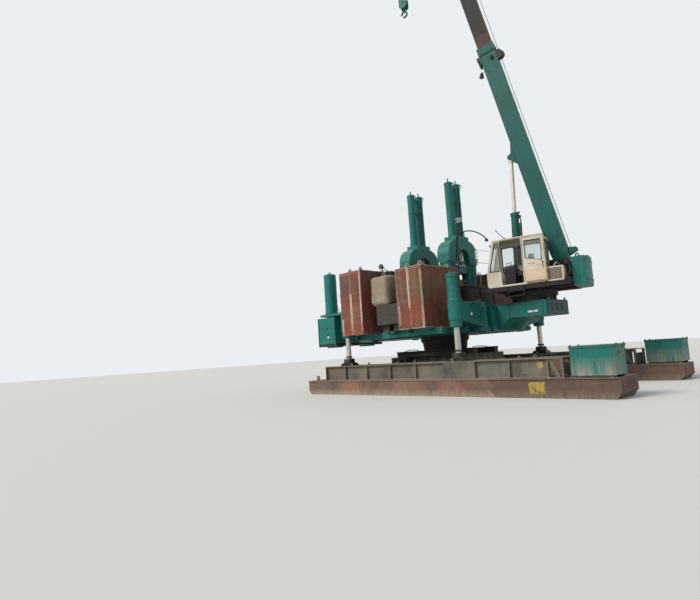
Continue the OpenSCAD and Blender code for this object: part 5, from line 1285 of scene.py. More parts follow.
# Turning carriage: a slewing ring and cone over two long beams, rolling on
# the short shoes; everything here is black with oil and mud, with chocks,
# roller caps, short steel pipes and the shift cylinders along the beams.
under_skin = plain_steel("under_grease", (0.032, 0.029, 0.027), (0.015, 0.015, 0.015), (0.11, 0.085, 0.065),
    0.004, dusty=0.7, rough=0.6, metal=0.2, shift=41.0, low=(0.7, 1.5))
dress(under_skin, "turning_carriage", "crane_pedestal")
work = Bench()
work.bolt_ring((0, 0, 1.908), down, 0.962, 36, 0.016, 0.02)
for i in range(12):
    a = 2 * math.pi * i / 12 + 0.13
    c, s = math.cos(a), math.sin(a)
    work.plate([(0.8 * c, 0.8 * s, 1.3), (0.93 * c, 0.93 * s, 1.86), (0.86 * c, 0.86 * s, 1.87)],
        (-0.02 * s, 0.02 * c, 0))
for y in (-0.75, 0.75):
    for s in (-1, 1):
        side_y = y + s * 0.141
        for x in (-1.62, -1.05, 1.05, 1.62):
            work.block((x - 0.015, min(side_y, side_y + s * 0.04), 1.02),
                (x + 0.015, max(side_y, side_y + s * 0.04), 1.5), 0.003)
        work.weld((-1.9, side_y, 1.04), (1.9, side_y, 1.04), 0.008)
    work.bolts([(x, y + t, 1.55) for x in (-1.75, -1.2, 1.2, 1.75) for t in (-0.15, 0.15)],
        up, 0.015, 0.016)
for x in (-1.5, 1.5):
    for s in (-1, 1):
        for y in (-1.15, -0.38, 0.38, 1.15):
            for f in (-1, 1):
                work.cap((x + s * 0.33 + f * 0.11, y, 0.86), (f, 0, 0), 0.04, 0.018, 0.016, 0.024, 16)
    for side in (-1, 1):
        work.bar((x, side * 1.3, 1.12), (x, side * 0.46, 1.12), 0.055)
        work.spin((x, side * 1.322, 1.12), (0, side, 0),
            [(0, -0.004), (0.085, -0.004), (0.085, 0.02), (0, 0.024)])
        work.bolt_ring((x, side * 1.344, 1.12), (0, side, 0), 0.064, 6, 0.01, 0.01)
        work.bolts([(x + t, side * 1.322, 1.27) for t in (-0.26, 0.26)], (0, side, 0), 0.016, 0.014)
    for y in (-1.08, 1.08):
        work.tube([(x * 0.6, y * 0.62, 1.57), (x * 0.72, y * 0.7, 1.6), (x * 0.88, y * 0.88, 1.58),
            (x * 0.95, y * 1.08, 1.45), (x * 0.98, y * 1.18, 1.3)], 0.016)
work.piece("carriage_fittings", "carriage", under_skin, "dark_steel")

# Short shoes: two cross pontoons under the carriage, turned-up at both ends,
# with worn guide rails bolted along their top edges.
shoe_skin = plain_steel("shoe_rust", (0.2, 0.12, 0.085), (0.09, 0.065, 0.055), (0.36, 0.28, 0.21), 0.004,
    streak=0.5, scrape=0.9, shift=71.0, low=(0.2, 0.6))
dress(shoe_skin, "short_shoes")
work = Bench()
for x in (-1.5, 1.5):
    for s in (-1, 1):
        edge = x + s * 0.55
        for y in (-1.2, -0.7, -0.2, 0.3, 0.8, 1.3):
            work.pad((edge, y), (0.004, 0.02), 0.3, 0.71, 0.002)
            work.bolts([(edge - s * 0.01, y + 0.12, 0.78)], up, 0.011, 0.01)
        work.weld((edge, -1.28, 0.235), (edge, 1.28, 0.235))
    for end in (-1, 1):
        work.pad((x, end * 1.602), (0.2, 0.012), 0.55, 0.7)
        work.bolts([(x + t, end * 1.614, z) for t in (-0.16, 0.16) for z in (0.58, 0.67)],
            (0, end, 0), 0.012, 0.01)
        work.weld((x - 0.54, end * 1.602, 0.475), (x + 0.54, end * 1.602, 0.475))
work.piece("shoe_fittings", "short_pair", shoe_skin, "rusty_steel")

# Power pack: a dark sheet-metal housing with louvred doors, filler caps,
# a sight glass and hinges, standing across the body behind the frames.
dress(dark_skin, "power_pack")
pack_top = 3.951
work = Bench()
for y0 in (-0.93, 0.05):
    for face, s in ((1.452, -1), (1.922, 1)):
        for i in range(9):
            z = 3.28 + i * 0.055
            work.plate([(face - s * 0.004, y0 + 0.1, z), (face + s * 0.02, y0 + 0.1, z - 0.006),
                (face - s * 0.004, y0 + 0.1, z + 0.032)], (0, 0.52, 0))
        work.block((min(face, face + s * 0.008), y0 + 0.03, 3.1),
            (max(face, face + s * 0.008), y0 + 0.85, 3.22), 0.003)
        for z in (3.2, 3.7):
            work.bar((face + s * 0.006, y0 + 0.86, z), (face + s * 0.006, y0 + 0.86, z + 0.08), 0.01, 10)
        work.block((min(face, face + s * 0.02), y0 + 0.04, 3.48),
            (max(face, face + s * 0.02), y0 + 0.07, 3.58))
for y in (-0.5, 0.5):
    work.spin((1.685, y, 4.0), up,
        [(0.15, -0.004), (0.157, 0.0), (0.157, 0.012), (0.1, 0.03), (0.04, 0.034),
        (0.04, 0.06), (0, 0.062)], 28)
for y in (-0.85, -0.15, 0.15, 0.85):
    work.spin((1.6, y, pack_top), up, [(0.035, 0), (0.035, 0.03), (0.028, 0.036), (0, 0.036)], 14)
work.bolts([(x, y, pack_top) for x in (1.44, 1.93) for y in (-0.96, -0.32, 0.32, 0.96)], up, 0.01, 0.008)
for side in (-1, 1):
    work.block((1.5, side * 1.0 - 0.01, 3.14), (1.88, side * 1.0 + 0.01, 3.84))
    work.bolts([(x, side * 1.012, z) for x in (1.53, 1.85) for z in (3.17, 3.49, 3.81)],
        (0, side, 0), 0.008, 0.006)
work.tube([(1.56, -0.62, 3.95), (1.56, -0.62, 4.06), (1.6, -0.62, 4.13), (1.7, -0.62, 4.15)], 0.045, 14)
work.spin((1.7, -0.62, 4.15), (1, 0, 0),
    [(0.045, 0), (0.052, 0.004), (0.052, 0.02), (0.04, 0.02), (0.04, 0)], 16)
work.piece("power_pack_fittings", "machine", dark_skin, "dark_steel")

# Crane pedestal: the slewing ring's lower race on the tail beam, bolted
# through its base, with grease nipples round the race.
work = Bench(pile_axis @ Matrix.Translation((4.1, 0, 0)))
work.bolt_ring((0, 0, 3.249), down, 0.792, 36, 0.012, 0.016, start=0.06)
for i in range(24):
    a = 2 * math.pi * (i + 0.5) / 24
    c, s = math.cos(a), math.sin(a)
    work.spin((0.82 * c, 0.82 * s, 3.335), (c, s, 0),
        [(0, -0.002), (0.012, -0.002), (0.012, 0.012), (0, 0.014)], 8)
work.band((0, 0, 3.3), up, 0.818, 0.826, 0.02, 64, edge=0.004)
work.weld((0.765, -0.1, 3.054), (0.765, 0.1, 3.054), 0.006)
work.piece("pedestal_bolts", "machine", under_skin, "dark_steel")

# Crane deck: the turning plate with the boom's foot cheeks and the lift
# cylinder's ears. Chequered tread, hose clamps, a step and a handrail.
deck_skin = plain_steel("deck_black", (0.017, 0.017, 0.018), (0.01, 0.01, 0.012), (0.085, 0.045, 0.036),
    0.003, dusty=0.4, rough=0.5, metal=0.2, shift=51.0, patches=(((0.042, 0.022, 0.02), 24.0, 0.7),))
dress(deck_skin, "slew_deck", "engine_cover", "winch")
deck_top = 3.62
work = Bench(crane_axis)
for i in range(24):
    for j in range(5):
        x, y = -0.95 + i * 0.094, -0.28 + j * 0.072 + (i % 2) * 0.036
        if x > 0.7 and abs(y) < 0.3 or x < -0.2 and abs(y) < 0.2:
            continue
        work.pad((x, y), (0.018, 0.006), deck_top - 0.001, deck_top + 0.005, 0.002)
for side in (-1, 1):
    for s in (-1, 1):
        y = side * 0.2425 + s * 0.0235
        work.weld((0.76, y, deck_top + 0.004), (1.44, y, deck_top + 0.004))
    y = side * 0.266
    work.cap((1.16, side * 0.284, 4.2), (0, side, 0), 0.072, 0.01, 0.06, 0.016, 28)
    work.bolt_ring((1.16, side * 0.299, 4.2), (0, side, 0), 0.048, 4, 0.009, 0.01)
    work.block((1.115, min(y, y + side * 0.018), 4.31), (1.205, max(y, y + side * 0.018), 4.345), 0.003)
    work.plate([(0.9, y, 3.63), (1.02, y, 3.63), (0.96, y, 4.05)], (0, side * 0.03, 0))
    for x in (-1.2, -0.5, 0.2, 0.9):
        work.pad((x, side * 1.203), (0.02, 0.003), 3.47, 3.6, 0.002)
    work.weld((-1.34, side * 1.202, 3.548), (1.47, side * 1.202, 3.548), 0.005)
    work.spin((-0.48, side * 0.157, 3.95), (0, side, 0),
        [(0, -0.002), (0.05, -0.002), (0.05, 0.012), (0, 0.016)], 24)
for x in (-0.6, -0.05):
    work.bar((x, -1.23, 3.22), (x, -1.23, 3.6), 0.014)
for z in (3.24, 3.42):
    work.bar((-0.62, -1.23, z), (-0.03, -1.23, z), 0.016)
work.block((0.06, -0.4, deck_top - 0.001), (0.58, -0.16, deck_top + 0.16), 0.01)
for x in (0.12, 0.22, 0.32, 0.42, 0.52):
    work.bar((x, -0.28, 3.775), (x, -0.28, 3.83), 0.026)
    work.tube([(x, -0.28, 3.82), (x, -0.27, 3.89), (x + 0.02, -0.21, 3.92), (x + 0.05, -0.1, 3.86),
        (x + 0.06, -0.05, 3.72), (x + 0.06, -0.04, 3.62)], 0.013)
work.piece("deck_fittings", "crane", deck_skin, "dark_steel")

# Cab: a cream shell of thin sheet with rounded corners, windows set in black
# rubber, drip rails, a roof lid, lamps, a whip aerial and a wiper.
coat, skin, height, gloss = steel_skin("cab_cream", (0.72, 0.68, 0.57), (0.5, 0.45, 0.35), (0.4, 0.3, 0.22),
    streak=0.35, scrape=0.25, dusty=0.4, rough=0.4, metal=0.0, fine=5.0)
turned = (-(Matrix.Rotation(-crane_turn, 4, "Z") @ slew_spot), -crane_turn)
stain = coat.work("MULTIPLY", coat.patch((0.02, -1.36, 3.5), (0.78, -1.2, 4.75), 0.05, turned),
    coat.work("MULTIPLY", coat.height(3.68, 4.45), 0.75))
skin = coat.lay(stain, skin, (0.66, 0.43, 0.27))
cream_skin = coat.done(skin, coat.speckle(120.0), 0.0008, gloss)
dress(cream_skin, "cab_shell", "cab_door", "cooler")
black = Coat("gasket_black", 0.5)
gasket_skin = black.done(black.lay(black.between(black.speckle(40.0), 0.4, 0.7), (0.012, 0.012, 0.013),
    (0.05, 0.048, 0.045)), black.speckle(90.0), 0.001)


def rounded(x0, z0, x1, z1, r):
    """A closed outline of a window with round corners."""
    loop = []
    for cx, cz, start in ((x1 - r, z1 - r, 0), (x0 + r, z1 - r, 90), (x0 + r, z0 + r, 180),
            (x1 - r, z0 + r, 270)):
        for step in range(5):
            a = math.radians(start + step * 22.5)
            loop.append((cx + r * math.cos(a), cz + r * math.sin(a)))
    return loop + loop[:1]


cab_near, cab_far, cab_back = -1.2, -0.34, 0.72
pane_top, gasket_r = 5.13, 0.013
lean = 0.27 / 1.22
work = Bench(crane_axis)
quarter = [(-1.19, 4.19), (-0.82, 4.19), (-0.81, 4.2), (-0.81, 5.2), (-0.82, 5.21),
    (-0.95, 5.21), (-1.19, 4.19)]
for y, s in ((cab_near, -1), (cab_near + 0.04, 1)):
    work.tube([(x, y + s * 0.004, z) for x, z in quarter], gasket_r, 8, 1)
    work.tube([(x, y + s * 0.004, z) for x, z in rounded(0.06, 4.42, 0.63, pane_top, 0.06)], gasket_r, 8, 1)
    work.tube([(x, y - s * 0.001, z) for x, z in rounded(-0.77, 3.68, -0.03, 5.245, 0.05)], 0.006, 8, 1)
for y, s in ((cab_far, 1), (cab_far - 0.04, -1)):
    for x0, z0, x1 in ((-0.92, 4.18, -0.4), (-0.34, 4.42, 0.57)):
        work.tube([(x, y + s * 0.004, z) for x, z in rounded(x0, z0, x1, pane_top, 0.06)], gasket_r, 8, 1)
for x, s in ((cab_back, 1), (cab_back - 0.04, -1)):
    work.tube([(x + s * 0.004, y, z) for y, z in rounded(-1.09, 4.24, -0.45, pane_top, 0.06)], gasket_r, 8,
        1)
work.tube([(-1.304 + lean * (z - 4.1), y, z) for y, z in rounded(-1.09, 4.24, -0.45, pane_top, 0.06)],
    0.014, 8, 1)
work.tube([(-1.06, -0.6, 5.19), (-1.13, -0.6, 5.17), (-1.155, -0.62, 4.98), (-1.24, -0.8, 4.55)], 0.007)
work.block((-1.255, -0.83, 4.4), (-1.235, -0.81, 4.86), 0.003)
work.bar((-1.0, -0.6, 5.19), (-1.09, -0.6, 5.19), 0.028)
work.bar((-0.6, -0.98, 5.33), (-0.92, -0.98, 5.74), 0.013, 10)
work.spin((-0.585, -0.98, 5.318), (-0.45, 0, 0.85),
    [(0.034, 0), (0.034, 0.04), (0.018, 0.09), (0, 0.1)], 14)
for x, y, z, way in ((-1.1, -1.1, 5.13, (-1, -0.1, -0.25)), (-0.98, -0.44, 5.38, (-1, 0, -0.3)),
        (0.66, -0.5, 5.38, (1, 0, -0.3))):
    work.spin((x, y, z), way,
        [(0, -0.075), (0.045, -0.07), (0.072, -0.02), (0.078, 0.02), (0.07, 0.026),
        (0.066, 0.015), (0, 0.01)], 20)
    work.bar((x + 0.02, y, z - 0.02), (x + 0.06, y, min(z - 0.09, 5.3)), 0.012, 10)
work.piece("cab_rubber", "crane", gasket_skin, "seat_black")
work = Bench(crane_axis)
for y, s in ((cab_near, -1), (cab_far, 1)):
    work.tube([(-0.99, y + s * 0.012, 5.276), (-0.2, y + s * 0.012, 5.286), (0.68, y + s * 0.012, 5.276)],
        0.012, 8)
work.block((-0.62, -1.02, 5.312), (0.02, -0.52, 5.345), 0.012)
for y in (-0.95, -0.59):
    work.block((0.02, y - 0.03, 5.315), (0.07, y + 0.03, 5.34))
work.tube([(-0.845, -1.215, 4.3), (-0.845, -1.262, 4.33), (-0.845, -1.262, 4.95), (-0.845, -1.215, 4.98)],
    0.013, 10)
for z in (4.3, 4.98):
    work.spin((-0.845, -1.199, z), (0, -1, 0), [(0, 0), (0.026, 0), (0.026, 0.006), (0, 0.008)], 16)
for x in (-1.05, -0.93):
    work.bolts([(x, cab_near - 0.001, z) for z in (3.7, 4.05)], (0, -1, 0), 0.008, 0.005)
for x in (-1.18, -0.2, 0.62):
    for y in (cab_near + 0.06, cab_far - 0.06):
        work.spin((x, y, 3.614), up, [(0.04, 0.0), (0.04, 0.008), (0, 0.008)], 12)
work.block((-1.302, -1.05, 3.72), (-1.296, -0.49, 4.04), 0.002)
work.frame((-1.302, -1.1, 3.7), (-1.302, -0.44, 4.08), 0.004)
for z in (4.56, 5.15):
    work.spin((-1.63, -1.135, z), up, [(0.016, -0.004), (0.021, 0), (0.021, 0.014), (0, 0.018)], 12)
work.piece("cab_trim", "crane", cream_skin, "cream_paint")
work = Bench(crane_axis)
work.block((-1.655, -1.285, 4.735), (-1.645, -1.035, 5.065))
for z in (4.84, 4.96):
    work.block((-1.6, -1.155, z), (-1.59, -1.115, z + 0.03), 0.003)
mirror = Coat("mirror_silver", 0.06, 1.0)
work.piece("mirror_back", "crane", gasket_skin, "seat_black")
work = Bench(crane_axis)
work.block((-1.622, -1.255, 4.752), (-1.6195, -1.065, 5.048), 0.001)
work.piece("mirror_glass", "crane", mirror.done((0.85, 0.86, 0.86)), "rod_chrome")

# Cab glass: clear laminated panes with dust gathered towards their edges.
pane = Coat("cab_glass", 0.05)
pane.skin.inputs["IOR"].default_value = 1.25
pane.skin.inputs["Transmission Weight"].default_value = 0.92
smear = pane.add("ShaderNodeMapRange",
    {"Value": pane.speckle(3.0, detail=7.0), "From Min": 0.45, "From Max": 0.75, "To Min": 0.04,
    "To Max": 0.16}).outputs[0]
pane.done((0.9, 0.95, 0.94), rough=smear)
dress(pane.material, "cab_glass", "door_glass")

# Driver's place: a sprung seat with worn dark cushions, two consoles with
# levers and rubber boots, pedals, a small fan and a rubber floor mat.
dress(deck_skin, "cab_seat")
seat_spot = crane_axis @ Matrix.Translation((-0.12, -0.77, 3.66))
cloth = Coat("seat_cloth", 0.85)
weave = cloth.add("ShaderNodeTexWave",
    {"Vector": cloth.place, "Scale": 160.0, "Distortion": 1.0}).outputs["Fac"]
worn = cloth.speckle(6.0, detail=7.0)
seat_skin = cloth.done(cloth.lay(cloth.between(worn, 0.42, 0.66), (0.03, 0.031, 0.036),
    (0.085, 0.08, 0.075)), cloth.work("ADD", weave, cloth.work("MULTIPLY", worn, 0.5)), 0.0012)
cloth.skin.inputs["Sheen Weight"].default_value = 0.3
seam_wide, seam_deep, puffing = 0.014, 0.16, 20


def cushion(name, low, high, lean_back=0.0, at=(0, 0, 0)):
    """A sewn pad, blown up by its filling and drawn in along two seams."""
    shell = bmesh.new()
    bmesh.ops.create_cube(shell, size=1.0)
    size = Vector(high) - Vector(low)
    middle = (Vector(high) + Vector(low)) / 2
    bmesh.ops.transform(shell, matrix=Matrix.Diagonal((*size, 1)), verts=shell.verts)
    bmesh.ops.bevel(shell, geom=shell.edges[:], offset=0.028, segments=3, affect="EDGES", profile=0.6)
    mesh = bpy.data.meshes.new(name)
    shell.to_mesh(mesh)
    shell.free()
    made = stand(name, mesh)
    mesh.materials.append(seat_skin)
    way = Matrix.Translation(at) @ Matrix.Rotation(lean_back, 4, "Y") @ Matrix.Translation(middle)
    bpy.context.view_layer.objects.active = made
    grid = made.modifiers.new("grid", "REMESH")
    grid.mode = "VOXEL"
    grid.voxel_size = 0.008
    puff = made.modifiers.new("puff", "CLOTH")
    puff.settings.use_pressure = True
    puff.settings.uniform_pressure_force = 4.0
    puff.settings.effector_weights.gravity = 0.0
    puff.point_cache.frame_end = puffing
    for step in range(1, puffing + 1):
        bpy.context.scene.frame_set(step)
    baked = bpy.data.meshes.new_from_object(made.evaluated_get(bpy.context.evaluated_depsgraph_get()))
    made.modifiers.clear()
    made.data = baked
    bpy.context.scene.frame_set(1)
    half = size / 2
    thin, long = (2, 0) if size.z < size.x else (0, 2)
    for v in made.data.vertices:
        v.co = Vector([max(-h * 1.02, min(h * 1.02, c)) for c, h in zip(v.co, half)])
        flat = max(abs(v.co[long]) / half[long], abs(v.co.y) / half.y)
        for seam in (-0.11, 0.11):
            if flat < 0.93 and abs(v.co.y - seam) < seam_wide:
                v.co[thin] *= 1 - seam_deep * (1 - abs(v.co.y - seam) / seam_wide)
    made.data.transform(seat_spot @ way)
    for face in made.data.polygons:
        face.use_smooth = True
    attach(made, "crane")
    return made


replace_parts(cushion("seat_pad", (-0.23, -0.23, 0.352), (0.235, 0.23, 0.468)), "seat_cushions")
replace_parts(cushion("seat_back", (-0.045, -0.215, 0.0), (0.045, 0.215, 0.59), 0.165, (0.222, 0, 0.475)),
    "seat_cushions")
work = Bench(seat_spot)
for side in (-1, 1):
    for x in (-0.48, -0.4, -0.32):
        work.spin((x, side * 0.3, 0.6), up,
            [(0.03, -0.002), (0.03, 0.01), (0.022, 0.03), (0.014, 0.05), (0.01, 0.055)], 14)
        work.spin((x, side * 0.3, 0.775), up,
            [(0, -0.004), (0.016, 0), (0.022, 0.016), (0.016, 0.034), (0, 0.038)], 16)
    work.block((-0.55, side * 0.3 - 0.055, 0.598), (-0.21, side * 0.3 + 0.055, 0.608), 0.003)
for y in (-0.14, 0.0, 0.14):
    work.bar((-0.78, y, 0.0), (-0.84, y, 0.17), 0.01, 8)
    work.block((-0.9, y - 0.045, 0.165), (-0.79, y + 0.045, 0.18))
work.block((-0.98, -0.36, -0.001), (-0.24, 0.36, 0.008), 0.003)
work.spin((0.62, -0.14, 1.42), (-1, 0, -0.2),
    [(0.085, 0), (0.092, 0.004), (0.092, 0.03), (0.085, 0.034), (0.085, 0)], 24)
for i in range(4):
    a = math.radians(45 + 90 * i)
    work.plate([(0.6, -0.14, 1.42), (0.6, -0.14 + 0.075 * math.cos(a), 1.42 + 0.075 * math.sin(a)),
        (0.6, -0.14 + 0.075 * math.cos(a + 0.7), 1.42 + 0.075 * math.sin(a + 0.7))], (0.003, 0, 0))
work.piece("cab_controls", "crane", gasket_skin, "seat_black")

# Cab door: a framed sheet leaf, folded back flat on the cab's side, with its
# own black gasket, strap hinges, a grab bar, a latch and a lower rail.
hinge_spot = crane_axis @ Matrix.Translation((0, -1.267, 0))
leaf = [(0.105, 4.52), (0.645, 4.38), (0.645, 5.12), (0.105, 5.12), (0.105, 4.52)]
work = Bench(hinge_spot)
for s in (-1, 1):
    y = s * 0.0205
    work.tube([(x, y, z) for x, z in leaf], 0.012, 8, 1)
    work.tube([(x, s * 0.019, z) for x, z in rounded(0.03, 3.7, 0.745, 5.235, 0.04)], 0.006, 8, 1)
work.cap((0.66, -0.021, 4.3), (0, -1, 0), 0.03, 0.008, 0.022, 0.014, 18, foot=0)
work.tube([(0.655, -0.03, 4.26), (0.655, -0.052, 4.24), (0.655, -0.052, 4.12), (0.655, -0.022, 4.1)], 0.008)
work.piece("door_rubber", "door", gasket_skin, "seat_black")
work = Bench(hinge_spot)
for z in (3.87, 4.47, 5.02):
    work.block((0.038, -0.0225, z + 0.01), (0.125, -0.017, z + 0.11), 0.003)
    work.bolts([(x, -0.0225, z + t) for x in (0.06, 0.11) for t in (0.03, 0.09)], (0, -1, 0), 0.006, 0.005)
work.block((0.07, -0.0215, 3.76), (0.7, -0.017, 4.02), 0.003)
work.frame((0.1, -0.0215, 4.06), (0.66, -0.0215, 4.22), 0.004)
for s in (-1, 1):
    out = s * (0.04 if s < 0 else 0.03)
    work.tube([(0.16, s * 0.019, 4.3), (0.16, out, 4.31), (0.36, out, 4.31), (0.36, s * 0.019, 4.3)], 0.008)
for x in (0.4, 0.46, 0.52):
    work.block((x - 0.02, -0.0215, 4.08), (x + 0.02, -0.0185, 4.2), 0.002)
work.piece("door_fittings", "door", cream_skin, "cream_paint")

# Engine cover: dark folded sheet with louvres, toggle latches, a hinge line
# and a bent exhaust pipe with a rusty silencer on top.
work = Bench(crane_axis)
for x0 in (-0.95, -0.2, 0.55):
    for y, s in ((0.38, -1), (1.2, 1)):
        work.block((x0 - 0.02, min(y, y + s * 0.006), 3.72), (x0 + 0.6, max(y, y + s * 0.006), 4.46))
        for i in range(10):
            z = 3.86 + i * 0.052
            work.plate([(x0 + 0.08, y + s * 0.003, z), (x0 + 0.08, y + s * 0.026, z - 0.004),
                (x0 + 0.08, y + s * 0.003, z + 0.03)], (0.42, 0, 0))
        work.block((x0 + 0.26, min(y, y + s * 0.028), 3.745), (x0 + 0.32, max(y, y + s * 0.028), 3.8))
for x in (-0.9, 0.1, 1.05):
    work.bar((x - 0.06, 0.66, 4.575), (x + 0.06, 0.66, 4.575), 0.013, 10)
for x, s in ((-1.1, -1), (1.28, 1)):
    for z in (3.9, 4.05, 4.2, 4.35):
        work.block((x - 0.008, 0.48, z), (x + 0.008, 1.1, z + 0.06))
work.bolts([(x, y, 4.568) for x in (-0.95, -0.3, 0.4, 1.1) for y in (0.45, 1.12)], up, 0.012, 0.009)
work.piece("cover_louvres", "crane", deck_skin, "dark_steel")
work = Bench(crane_axis)
work.bar((-0.45, 0.9, 4.63), (0.25, 0.9, 4.63), 0.095, 24)
work.tube([(-0.4, 0.9, 4.66), (-0.52, 0.9, 4.7), (-0.6, 0.9, 4.8), (-0.62, 0.9, 5.05), (-0.64, 0.92, 5.12),
    (-0.7, 0.95, 5.17)], 0.04, 16)
for x in (-0.33, 0.13):
    work.band((x, 0.9, 4.63), (1, 0, 0), 0.094, 0.1, 0.028, 24, edge=0.002)
    work.block((x, 0.86, 4.55), (x + 0.03, 0.94, 4.6))
work.piece("silencer", "crane", shackle_rust, "rusty_steel")

# Cooler: a cream frame round a dusty brown core, with a fan cowl behind and
# two header pipes on top.
work = Bench(crane_axis)
cooler_core = (0.8, 1.2, 3.68, 4.05)
for i in range(30):
    x = cooler_core[0] + 0.006 + i * (cooler_core[1] - cooler_core[0] - 0.012) / 29
    work.block((x - 0.003, -1.165, cooler_core[2]), (x + 0.003, -1.15, cooler_core[3]), 0.001)
for i in range(9):
    z = 3.69 + i * 0.044
    work.block((cooler_core[0] - 0.02, -1.192, z), (cooler_core[1] + 0.02, -1.184, z + 0.018), 0.002)
core_skin = plain_steel("cooler_core", (0.155, 0.125, 0.1), (0.07, 0.06, 0.05), (0.27, 0.22, 0.17),
    0.001, fine=30.0)
work.piece("cooler_core", "crane", core_skin, "dark_steel")
work = Bench(crane_axis)
for x in (0.745, 1.255):
    work.bolts([(x, -1.201, z) for z in (3.66, 3.87, 4.08)], (0, -1, 0), 0.008, 0.006)
work.bar((0.8, -0.8, 4.135), (1.2, -0.8, 4.135), 0.035, 18)
work.spin((0.9, -1.05, 4.11), up, [(0.035, -0.002), (0.035, 0.02), (0.028, 0.028), (0, 0.028)], 16)
for y in (-0.98, -0.88):
    work.spin((0.95, y, 4.108), up, [(0.024, -0.002), (0.024, 0.018), (0.016, 0.022), (0.016, 0.03)], 12)
work.spin((1.271, -0.92, 3.86), (1, 0, 0),
    [(0.2, -0.004), (0.2, 0.012), (0.185, 0.018), (0.185, 0.002), (0, 0.002)], 32)
for r in (0.06, 0.1, 0.14, 0.18):
    work.spin((1.284, -0.92, 3.86), (1, 0, 0),
        [(r - 0.003, 0), (r + 0.003, 0), (r + 0.003, 0.005), (r - 0.003, 0.005), (r - 0.003, 0)], 28)
work.piece("cooler_fittings", "crane", cream_skin, "cream_paint")

# Counterweight: a cast teal tail block, round at the rear, with bolted ears,
# a blank cover plate, lifting eyes and a stub of pipe on its top.
work = Bench(crane_axis)
weight_top, weight_r = 4.41, 2.01
weight_half = 0.761
for side in (-1, 1):
    work.eye((1.66, side * 0.55, weight_top), (1, 0, 0), size=0.07, thick=0.03)
    work.bolts([(1.74, side * 0.65, weight_top)], up, 0.022, 0.02)
    work.frame((1.5, side * weight_half, 3.7), (1.84, side * weight_half, 4.3))
    work.bolts([(x, side * weight_half, z) for x in (1.54, 1.8) for z in (3.75, 4.25)],
        (0, side, 0), 0.018, 0.016)
for a in (-18, -9, 0, 9, 18):
    a = math.radians(a)
    c, s = math.cos(a), math.sin(a)
    for z in (3.62, 4.24):
        work.cap((weight_r * c, weight_r * s, z), (c, s, 0), 0.032, 0.008, 0.022, 0.014, 18)
for z in (3.56, 4.36):
    work.tube([(weight_r * math.cos(a) + 0.001, weight_r * math.sin(a), z)
        for a in (math.radians(-21.5 + 43 * i / 16) for i in range(17))], 0.007, 6, 1)
work.spin((1.93, -0.2, weight_top), up,
    [(0.045, -0.01), (0.045, 0.05), (0.038, 0.055), (0.038, 0.02), (0, 0.02)], 18)
work.piece("weight_fittings", "crane", machine_teal, "teal_paint")

# Winch: a spooled drum of greased wire rope with a brake housing, a motor
# and guard bars, dark between the deck and the counterweight.
rope_coat = Coat("wire_rope", 0.5, 0.6)
strand = rope_coat.add("ShaderNodeTexWave",
    {"Vector": rope_coat.place, "Scale": 60.0, "Distortion": 3.0}).outputs["Fac"]
rope_skin = rope_coat.done(rope_coat.lay(strand, (0.13, 0.125, 0.12), (0.42, 0.41, 0.39)), strand, 0.002)
dress(rope_skin, "hook_rope")
drum_x, drum_z, rope_r = 1.67, 3.86, 0.011
wraps, pitch, wrap_r = 18, 0.0238, 0.131
work = Bench(crane_axis)
for i in range(wraps):
    y = -0.205 + i * pitch
    work.tube([(drum_x + wrap_r * math.cos(a), y + pitch * k / 20, drum_z + wrap_r * math.sin(a))
        for k, a in ((k, 2 * math.pi * k / 20) for k in range(21))], rope_r, 6, 1)
work.piece("winch_rope_wraps", "crane", rope_skin, "rope_steel")
work = Bench(crane_axis)
work.spin((drum_x, -0.322, drum_z), (0, -1, 0),
    [(0, 0), (0.11, 0), (0.11, 0.03), (0.07, 0.045), (0.07, 0.13), (0.055, 0.15), (0, 0.15)], 28)
work.bolt_ring((drum_x, -0.352, drum_z), (0, -1, 0), 0.092, 8, 0.01, 0.01)
work.cap((drum_x, 0.322, drum_z), (0, 1, 0), 0.12, 0.02, 0.05, 0.03, 28, foot=0)
work.bolt_ring((drum_x, 0.342, drum_z), (0, 1, 0), 0.095, 8, 0.01, 0.01)
for y in (-0.235, 0.235):
    for i in range(6):
        a = 2 * math.pi * i / 6
        work.nut((drum_x + 0.12 * math.cos(a), y + (0.016 if y > 0 else -0.016),
            drum_z + 0.12 * math.sin(a)), (0, math.copysign(1, y), 0), 0.014, 0.006)
for y in (-0.44, -0.49):
    work.tube([(drum_x, y, drum_z + 0.05), (drum_x - 0.02, y, drum_z + 0.15),
        (drum_x - 0.12, y, drum_z + 0.2), (drum_x - 0.26, y, drum_z + 0.1), (drum_x - 0.3, y, drum_z - 0.1),
        (drum_x - 0.3, y, 3.62)], 0.014)
for y in (-0.6, -0.72, -0.84, -0.96, -1.08):
    work.tube([(1.3, y, 3.64), (1.36, y, 3.78), (1.44, y * 0.96, 3.86), (1.46, y * 0.92, 4.02),
        (1.41, y * 0.9, 4.16), (1.33, y * 0.9, 4.22)], 0.017)
work.block((1.3, -1.12, 3.621), (1.46, -0.56, 3.7), 0.008)
work.block((1.28, -1.0, 4.16), (1.4, -0.52, 4.3), 0.01)
work.bar((1.34, -0.95, 4.3), (1.34, -0.95, 4.36), 0.03)
work.piece("winch_fittings", "crane", deck_skin, "dark_steel")

